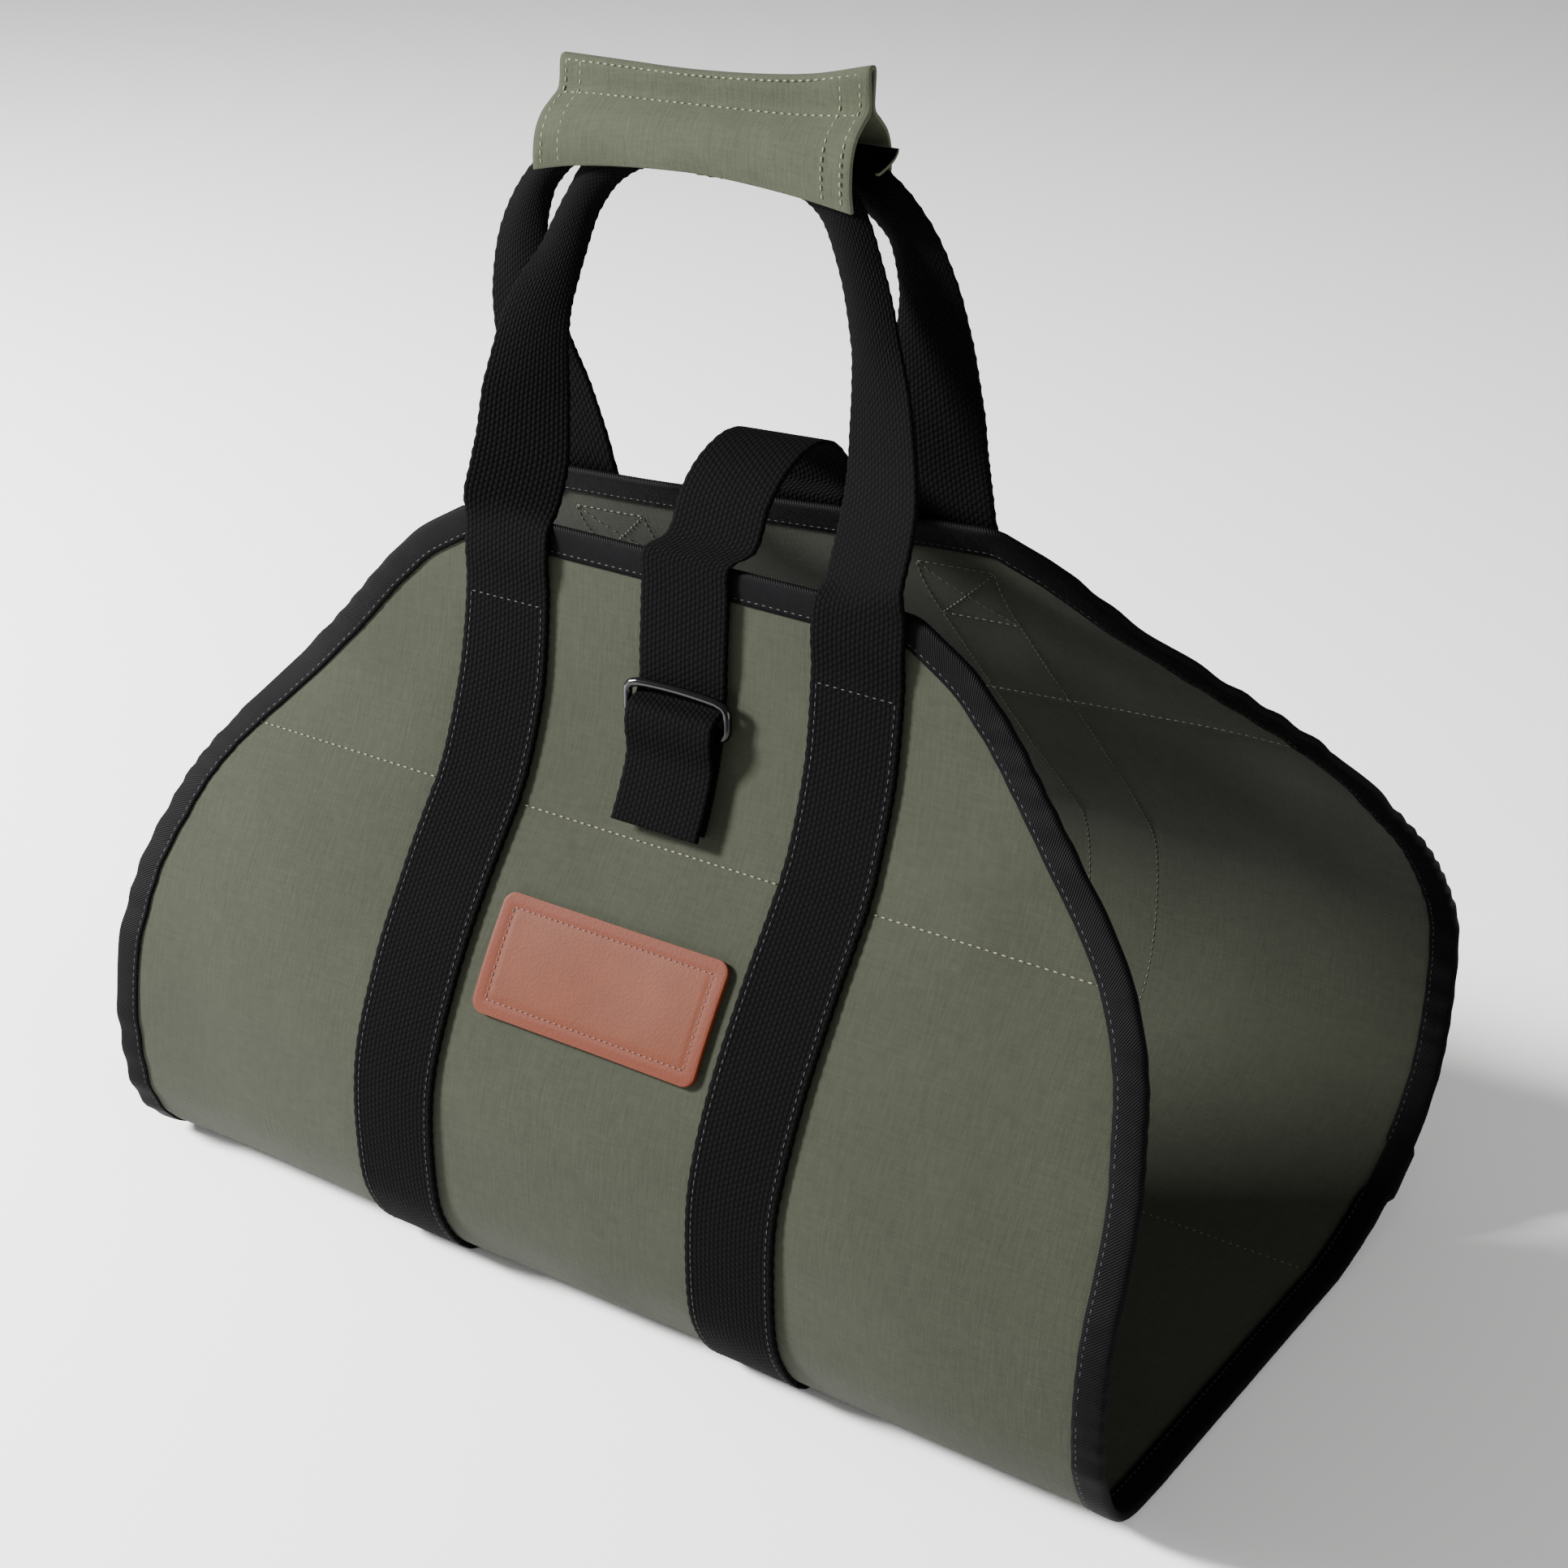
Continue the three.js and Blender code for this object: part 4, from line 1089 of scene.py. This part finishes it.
def bar_rise():
    return WEBBING_GAP * 2 + TAB_WALL + RING_WIRE / 2


def under_bow():
    return TAPE_LIFT + WEBBING_GAP + WEBBING_WALL / 2


def flat_strap(name, middles, across, thickness, step=WEBBING_STEP):
    """A strap through middles, flat along the directions across."""
    places, rows = spline(middles, steps=10)
    even, index = spaced(places, step)
    held = np.interp(index, np.arange(len(rows)), rows)
    every = np.arange(len(middles))
    wide = [np.interp(held, every, np.array(across)[:, axis]) for axis in range(3)]
    wide = unit(np.stack(wide, axis=1))[:, None, :]
    spots = even[:, None, :] + wide * WEBBING_SHARES[None, :, None] * WEBBING_WIDTH / 2
    runs = lengths(even)
    piece = sheet_mesh(name, selvedge(spots, runs), strap_flat(runs))
    wall(piece, thickness, 0, edge=0.45 * MM)
    return piece


class CARRIER_OT_closure(bpy.types.Operator):
    """Lay the closing strap through its ring"""

    bl_idname = "carrier.closure"
    bl_label = "Closing strap"

    def execute(self, context):
        black = bpy.data.materials["black cotton webbing"]
        settle(self.strap(), [black], "webbing", "closure_strap")
        settle(self.tab(), [black], "webbing", "ring_tab")
        settle(self.ring(), [black_enamel("black enamelled steel")], "enamel", "strap_ring")
        return {"FINISHED"}

    def strap(self):
        half = WEBBING_WALL / 2
        starts = {"edge": 0, "ring": RING_DROP, "bar": LOWER_BAR, "tail": TAIL_END}
        rises = {
            "bow": under_bow(),
            "eye": bar_rise() + RING_WIRE / 2 + WEBBING_GAP * 2 + TAB_WALL + half,
            "tab": WEBBING_GAP * 3 + TAB_WALL * 2 + half,
        }
        seat = np.linspace(SHEET_LENGTH - CLOSURE_SEAT, SHEET_LENGTH + PAST_EDGE, 8)
        up = over_sheet(CLOSURE_X + CLOSURE_SLANT, seat, strap_rise(seat))
        lay = np.array([(starts[row["start"]] + row["run"], rises[row["on"]]) for row in CLOSURE_LAY])
        down = over_sheet(CLOSURE_X, lay[:, 0], lay[:, 1])
        leave = up[-1]
        land = down[0]
        arch = []
        for row in CLOSURE_CURVE:
            edge = leave if row["edge"] == "back" else land
            arch.append((
                CLOSURE_X + row["slant"] * CLOSURE_SLANT,
                leave[1] + row["forward"] * (land[1] - leave[1]),
                edge[2] + row["up"] * CLOSURE_ARCH,
            ))
        tilt = column(SECTION, "tilt")[-1]
        slanted = [(-1, 0, -tilt)] * len(up)
        turning = [(-1, 0, -tilt * (1 - share)) for share in np.linspace(0, 1, len(arch))]
        level = [(-1, 0, 0)] * len(down)
        middles = np.vstack([up, arch, down])
        return flat_strap("closing_strap", middles, slanted + turning + level, WEBBING_WALL)

    def tab(self):
        half = TAB_WALL / 2
        turn = RING_WIRE / 2 + WEBBING_GAP + half
        under = WEBBING_GAP + half
        doubled = under + TAB_WALL + WEBBING_GAP
        angles = np.radians(np.linspace(0, EYE_TURN, 15))
        eye = [LOWER_BAR - turn * np.sin(angles), bar_rise() - turn * np.cos(angles)]
        eye = np.stack(eye, axis=1)
        landing = eye[-1, 0] + (eye[-1, 1] - doubled) / math.tan(math.radians(EYE_TURN - 180))
        start = np.stack([np.linspace(TAB_END, LOWER_BAR + 4 * MM, 6), np.full(6, under)], axis=1)
        end = np.stack([np.linspace(landing, TAB_END, 6), np.full(6, doubled)], axis=1)
        way = np.vstack([start, eye, end])
        points = over_sheet(CLOSURE_X - 0.7 * MM, way[:, 0], way[:, 1])
        return flat_strap("ring_strap", points, [(1, 0, 0)] * len(points), TAB_WALL, step=0.8 * MM)

    def ring(self):
        """Wire bent to a rounded oblong, its upper bar crowned over the strap."""
        wire = RING_WIRE / 2
        reach = RING_WIDTH / 2 - wire
        low = LOWER_BAR
        high = RING_DROP + RING_CROWN
        corner = RING_CORNER
        quarter = np.linspace(0, np.pi / 2, 7)
        bars = []
        for x_sign, edge, start in ((1, low, 0), (1, high, 1), (-1, high, 0), (-1, low, 1)):
            inward = -1 if edge == low else 1
            centre = (x_sign * (reach - corner), edge + inward * corner)
            angles = quarter if start == 0 else quarter[::-1]
            for angle in angles:
                bars.append((
                    centre[0] + x_sign * corner * math.sin(angle),
                    centre[1] - inward * corner * math.cos(angle),
                ))
            if x_sign == 1 and edge == high:
                bars.extend(
                    (x, high - RING_CROWN * (1 - (x / reach) ** 2))
                    for x in np.linspace(0.8, -0.8, 17) * reach
                )
            if x_sign == -1 and edge == low:
                bars.extend((x, low) for x in np.linspace(-0.8, 0.8, 17) * reach)
        bars.append(bars[0])
        bars = np.array(bars)
        upper_rise = under_bow() + WEBBING_WALL / 2 + WEBBING_GAP + wire
        share = (bars[:, 1] - RING_DROP) / (low - RING_DROP)
        rise = upper_rise + share * (bar_rise() - upper_rise)
        spots = over_sheet(CLOSURE_X, bars[:, 1], rise)
        spots[:, 0] += bars[:, 0]
        even = spaced(spots, 0.9 * MM)[0][:-1]
        along = unit(np.roll(even, -1, axis=0) - np.roll(even, 1, axis=0))
        side = unit(np.cross(along, np.array([0.0, -1.0, 0.2])))
        up = np.cross(side, along)
        angles = np.linspace(0, 2 * np.pi, 17)
        rows = (
            even[:, None, :]
            + side[:, None, :] * wire * np.cos(angles)[None, :, None]
            + up[:, None, :] * wire * np.sin(angles)[None, :, None]
        )
        rows = np.concatenate([rows, rows[:1]])
        return sheet_mesh("strap_wire_ring", rows, np.zeros((*rows.shape[:2], 2)), joined=True)


# Leather patch

class CARRIER_OT_patch(bpy.types.Operator):
    """Lay the leather patch on the front panel"""

    bl_idname = "carrier.patch"
    bl_label = "Leather patch"

    def execute(self, context):
        corner = PATCH_CORNER
        bend = corner * (1 - np.cos(np.linspace(0, np.pi / 2, 9)))
        inner = np.linspace(corner, PATCH_HEIGHT - corner, 27)[1:-1]
        drops = np.concatenate([bend, inner, (PATCH_HEIGHT - bend)[::-1]])
        nearest = np.minimum(np.minimum(drops, PATCH_HEIGHT - drops), corner)
        half = PATCH_WIDTH / 2 - corner + np.sqrt(corner ** 2 - (corner - nearest) ** 2)
        shares = np.linspace(-1, 1, 71)
        x = half[:, None] * shares[None, :]
        drop = drops[:, None] + 0 * x
        seam = np.abs(np.minimum(
            PATCH_WIDTH / 2 - np.abs(x), np.minimum(drop, PATCH_HEIGHT - drop),
        ) - PATCH_INSET)
        rise = WEBBING_GAP - 0.35 * MM * np.exp(-(seam / (0.9 * MM)) ** 2)
        spots = on_sheet(PATCH_X + x, PATCH_DROP + drop, rise)
        flat = np.stack([x, drop - PATCH_HEIGHT / 2], axis=-1)
        piece = sheet_mesh("patch", spots, flat, outwards=(0, -1, 0))
        wall(piece, PATCH_WALL, 1, edge=0.55 * MM)
        leather = tanned_leather("vegetable-tanned leather", tuple(colours().leather))
        settle(piece, [leather], "leather", "leather_patch")
        return {"FINISHED"}


# Stitches

def sew(bm, places, normals, pitch, width, fill=0.72):
    """Adds a row of stitches along a chain of places."""
    runs = lengths(places)
    count = int(runs[-1] / pitch)
    if count < 1:
        return
    at = (np.arange(count) + 0.5) * runs[-1] / count
    for run in at:
        ends = [
            np.array([np.interp(run + reach, runs, places[:, axis]) for axis in range(3)])
            for reach in (-pitch * fill / 2, pitch * fill / 2)
        ]
        normal = np.array([np.interp(run, runs, normals[:, axis]) for axis in range(3)])
        along = ends[1] - ends[0]
        middle = (ends[0] + ends[1]) / 2
        side = np.cross(normal, along)
        axes = [along, unit(side) * width, unit(normal) * width * 0.8]
        matrix = Matrix([[*(axis[row] for axis in axes), middle[row]] for row in range(3)] + [[0, 0, 0, 1]])
        bmesh.ops.create_icosphere(bm, subdivisions=1, radius=0.5, matrix=matrix)


def sheet_seam(bm, start, end, rise, pitch, width):
    """A straight row of stitches from one place (x, run) of the sheet to another."""
    count = max(2, int(math.dist(start, end) / (2 * MM)))
    x = np.linspace(start[0], end[0], count)
    run = np.linspace(start[1], end[1], count)
    spots = on_sheet(x, run, rise)
    out = on_sheet(x, run, rise + 1 * MM) - spots
    sew(bm, spots, out, pitch, width)


def gaps_between(low, high, blocks):
    """Stretches from low to high that the blocks leave free."""
    edges = [low]
    for start, end in sorted(blocks):
        edges += [start, end]
    edges.append(high)
    pairs = zip(edges[::2], edges[1::2])
    return [(a, b) for a, b in pairs if b - a > 3 * MM]


def thread_object(name, bm, material, slot):
    for face in bm.faces:
        face.smooth = True
    settle(mesh_object(name, bm), [material], slot)


class CARRIER_OT_stitches(bpy.types.Operator):
    """Sew the seams"""

    bl_idname = "carrier.stitches"
    bl_label = "Stitches"

    def execute(self, context):
        pale = spun_thread("pale spun thread", tuple(colours().thread))
        black = spun_thread("black spun thread", tint(tuple(colours().tape), 0.9))
        olive = spun_thread("olive spun thread", tint(tuple(colours().thread), 0.4))
        brown = spun_thread("brown waxed thread", linear("#4a2417"))
        thread_object("canvas_stitches", self.canvas_rows(), pale, "canvas")
        thread_object("inside_stitches", self.inside_rows(), olive, "canvas")
        thread_object("strap_stitches", self.strap_rows(), black, "webbing")
        thread_object("tape_stitches", self.tape_rows(), black, "tape")
        thread_object("sleeve_stitches", self.sleeve_rows(), pale, "sleeve")
        thread_object("patch_stitches", self.patch_row(), brown, "leather")
        return {"FINISHED"}

    def canvas_rows(self):
        bm = bmesh.new()
        clear = WEBBING_WIDTH / 2 + 1 * MM
        middles = (-STRAP_SPACING / 2, STRAP_SPACING / 2)
        straps = [(middle - clear, middle + clear) for middle in middles]
        for run in (SEAM_RUN, SHEET_LENGTH - SEAM_RUN):
            half = half_width(run) - sizes().tape_width
            for low, high in gaps_between(-half, half, straps):
                sheet_seam(bm, (low, run), (high, run), 0.15 * MM, sizes().stitch, sizes().thread)
        return bm

    def inside_rows(self):
        bm = bmesh.new()
        pitch = sizes().stitch
        width = sizes().thread
        rise = -sizes().canvas_wall - 0.12 * MM
        for run in (SEAM_RUN, FLOOR_SEAM_RUN, SHEET_LENGTH - SEAM_RUN):
            half = half_width(run) - sizes().tape_width
            sheet_seam(bm, (-half, run), (half, run), rise, pitch, width)
        start = sizes().tape_width + SEAM_START
        end = SHEET_LENGTH - start
        for strap in (-STRAP_SPACING / 2, STRAP_SPACING / 2):
            left = strap - STRAP_SEAM
            right = strap + STRAP_SEAM
            for x in (left, right):
                sheet_seam(bm, (x, start), (x, end), rise, pitch, width * 0.8)
            for low, high in ((start, start + BOX_LONG), (end - BOX_LONG, end)):
                for a, b in (
                    ((left, low), (right, low)), ((left, high), (right, high)),
                    ((left, low), (right, high)), ((right, low), (left, high)),
                ):
                    sheet_seam(bm, a, b, rise, pitch, width * 0.8)
        return bm

    def strap_rows(self):
        bm = bmesh.new()
        pitch = sizes().stitch
        width = sizes().thread
        bar = sizes().tape_width + SEAM_START + BAR_DROP
        rise = WEBBING_GAP + WEBBING_WALL + 0.05 * MM
        front, back = (SHEET_LENGTH * stop for stop in STRAP_SEAM_STOPS)
        stretches = ((STRAP_SEAM_START, front), (back, SHEET_LENGTH - STRAP_SEAM_START))
        for strap in (-STRAP_SPACING / 2, STRAP_SPACING / 2):
            left = strap - STRAP_SEAM
            right = strap + STRAP_SEAM
            for x in (left, right):
                for low, high in stretches:
                    sheet_seam(bm, (x, low), (x, high), rise, pitch, width * 0.7)
            sheet_seam(bm, (left, bar), (right, bar), rise, pitch, width * 0.8)
        return bm

    def tape_rows(self):
        bm = bmesh.new()
        route, out = edge_route(4 * MM)
        route = np.vstack([route, route[:1]])
        out = np.vstack([out, out[:1]])
        inset = route - out * (sizes().tape_width - TAPE_SEAM)
        for rise, side in ((0.8 * MM, 1), (-sizes().canvas_wall - 0.8 * MM, -1)):
            spots = on_sheet(inset[:, 0], inset[:, 1], rise)
            away = (on_sheet(inset[:, 0], inset[:, 1], rise + 1 * MM) - spots) * side
            sew(bm, spots, away, sizes().stitch, sizes().thread * 0.75)
        return bm

    def sleeve_rows(self):
        """A long row where the ridge is sewn together, one under its top and two rows round
        each end."""
        bm = bmesh.new()
        inset = SLEEVE_SEAM / SLEEVE_LENGTH
        stations = np.linspace(-0.5 + inset, 0.5 - inset, 41)
        heights = np.linspace(0.04, 0.97, 25)
        rows = [[(share, up) for share in stations] for up in (SLEEVE_ROW, 0.95)]
        for end in (-0.5 + inset, -0.5 + 3 * inset, 0.5 - inset, 0.5 - 3 * inset):
            rows.append([(end, up) for up in heights])
        for row in rows:
            for side in (-1, 1):
                spots = np.array([sleeve_spot(share, up, side) for share, up in row])
                out = np.broadcast_to(np.array([0.0, side, 0.2]), spots.shape)
                sew(bm, spots + out * 0.1 * MM, out, sizes().stitch, sizes().thread * 1.1)
        return bm

    def patch_row(self):
        bm = bmesh.new()
        left = PATCH_X - PATCH_WIDTH / 2 + PATCH_INSET
        right = PATCH_X + PATCH_WIDTH / 2 - PATCH_INSET
        top = PATCH_DROP + PATCH_INSET
        bottom = PATCH_DROP + PATCH_HEIGHT - PATCH_INSET
        corners = [(left, top), (right, top), (right, bottom), (left, bottom), (left, top)]
        rise = WEBBING_GAP + PATCH_WALL - 0.25 * MM
        for start, end in zip(corners, corners[1:]):
            sheet_seam(bm, start, end, rise, PATCH_STITCH, PATCH_THREAD)
        return bm


# Stage

class CARRIER_OT_stage(bpy.types.Operator):
    """Set the floor, the lights and the camera"""

    bl_idname = "carrier.stage"
    bl_label = "Stage"

    def execute(self, context):
        self.floor()
        self.lights()
        self.camera()
        return {"FINISHED"}

    def floor(self):
        bm = bmesh.new()
        bmesh.ops.create_circle(bm, cap_ends=True, segments=96, radius=FLOOR_RADIUS)
        piece = mesh_object("floor", bm)
        material, tree = new_material("pale studio paper")
        tone = cloud(tree, add(tree, "TexCoord", output="Object"), 0.8)
        dark, light = (rgba(linear(colour)) for colour in ("#f4f4f3", "#f7f7f6"))
        surface(tree, {"Base Color": shades(tree, tone, 0.0, 1.0, dark, light), "Roughness": 0.95})
        piece.data.materials.append(material)

    def lights(self):
        world = bpy.data.worlds.new("studio")
        world.use_nodes = True
        background = world.node_tree.nodes["Background"]
        background.inputs["Color"].default_value = (1, 1, 1, 1)
        background.inputs["Strength"].default_value = WORLD_STRENGTH
        bpy.context.scene.world = world
        for row in LAMPS:
            light = bpy.data.lights.new(row["name"], "AREA")
            light.energy = row["power"]
            light.size = row["size"]
            lamp = bpy.data.objects.new(row["name"], light)
            bpy.context.scene.collection.objects.link(lamp)
            lamp.location = row["place"]
            lamp.rotation_euler = (LAMP_TARGET - lamp.location).to_track_quat("-Z", "Y").to_euler()

    def camera(self):
        turn, tilt, roll = CAMERA_TURN, CAMERA_TILT, CAMERA_ROLL
        level = Vector((math.cos(turn), math.sin(turn), 0))
        forward = Vector((-math.sin(turn), math.cos(turn), 0))
        ahead = forward * math.cos(tilt) - Vector((0, 0, math.sin(tilt)))
        upright = level.cross(ahead)
        right = level * math.cos(roll) + upright * math.sin(roll)
        up = upright * math.cos(roll) - level * math.sin(roll)
        lens = bpy.data.cameras.new("camera")
        lens.lens = CAMERA_LENS
        lens.sensor_width = 36
        lens.sensor_fit = "HORIZONTAL"
        lens.clip_start = 0.01
        camera = bpy.data.objects.new("camera", lens)
        bpy.context.scene.collection.objects.link(camera)
        turned = Matrix((right, up, -ahead)).transposed().to_4x4()
        camera.matrix_world = Matrix.Translation(CAMERA_PLACE) @ turned
        bpy.context.scene.camera = camera


class CARRIER_PT_panel(bpy.types.Panel):
    """Lists the carrier's pieces, sizes and colours"""

    bl_idname = "CARRIER_PT_panel"
    bl_label = "Log Carrier"
    bl_space_type = "VIEW_3D"
    bl_region_type = "UI"
    bl_category = "Log Carrier"

    def draw(self, context):
        layout = self.layout
        for operator in STEPS:
            layout.operator(operator.bl_idname)
        for group in (context.scene.carrier_sizes, context.scene.carrier_colours):
            box = layout.box()
            for name in group.__annotations__:
                box.prop(group, name)


STEPS = (
    CARRIER_OT_stage,
    CARRIER_OT_canvas,
    CARRIER_OT_tape,
    CARRIER_OT_webbing,
    CARRIER_OT_sleeve,
    CARRIER_OT_closure,
    CARRIER_OT_patch,
    CARRIER_OT_stitches,
)
CLASSES = (CarrierSizes, CarrierColours, *STEPS, CARRIER_PT_panel)


def register():
    for cls in CLASSES:
        bpy.utils.register_class(cls)
    bpy.types.Scene.carrier_sizes = PointerProperty(type=CarrierSizes)
    bpy.types.Scene.carrier_colours = PointerProperty(type=CarrierColours)


def unregister():
    del bpy.types.Scene.carrier_colours
    del bpy.types.Scene.carrier_sizes
    for cls in reversed(CLASSES):
        bpy.utils.unregister_class(cls)


def main():
    register()
    bpy.ops.carrier.stage()
    bpy.ops.carrier.canvas()
    bpy.ops.carrier.tape()
    bpy.ops.carrier.webbing()
    bpy.ops.carrier.sleeve()
    bpy.ops.carrier.closure()
    bpy.ops.carrier.patch()
    bpy.ops.carrier.stitches()


if __name__ == "__main__":
    main()
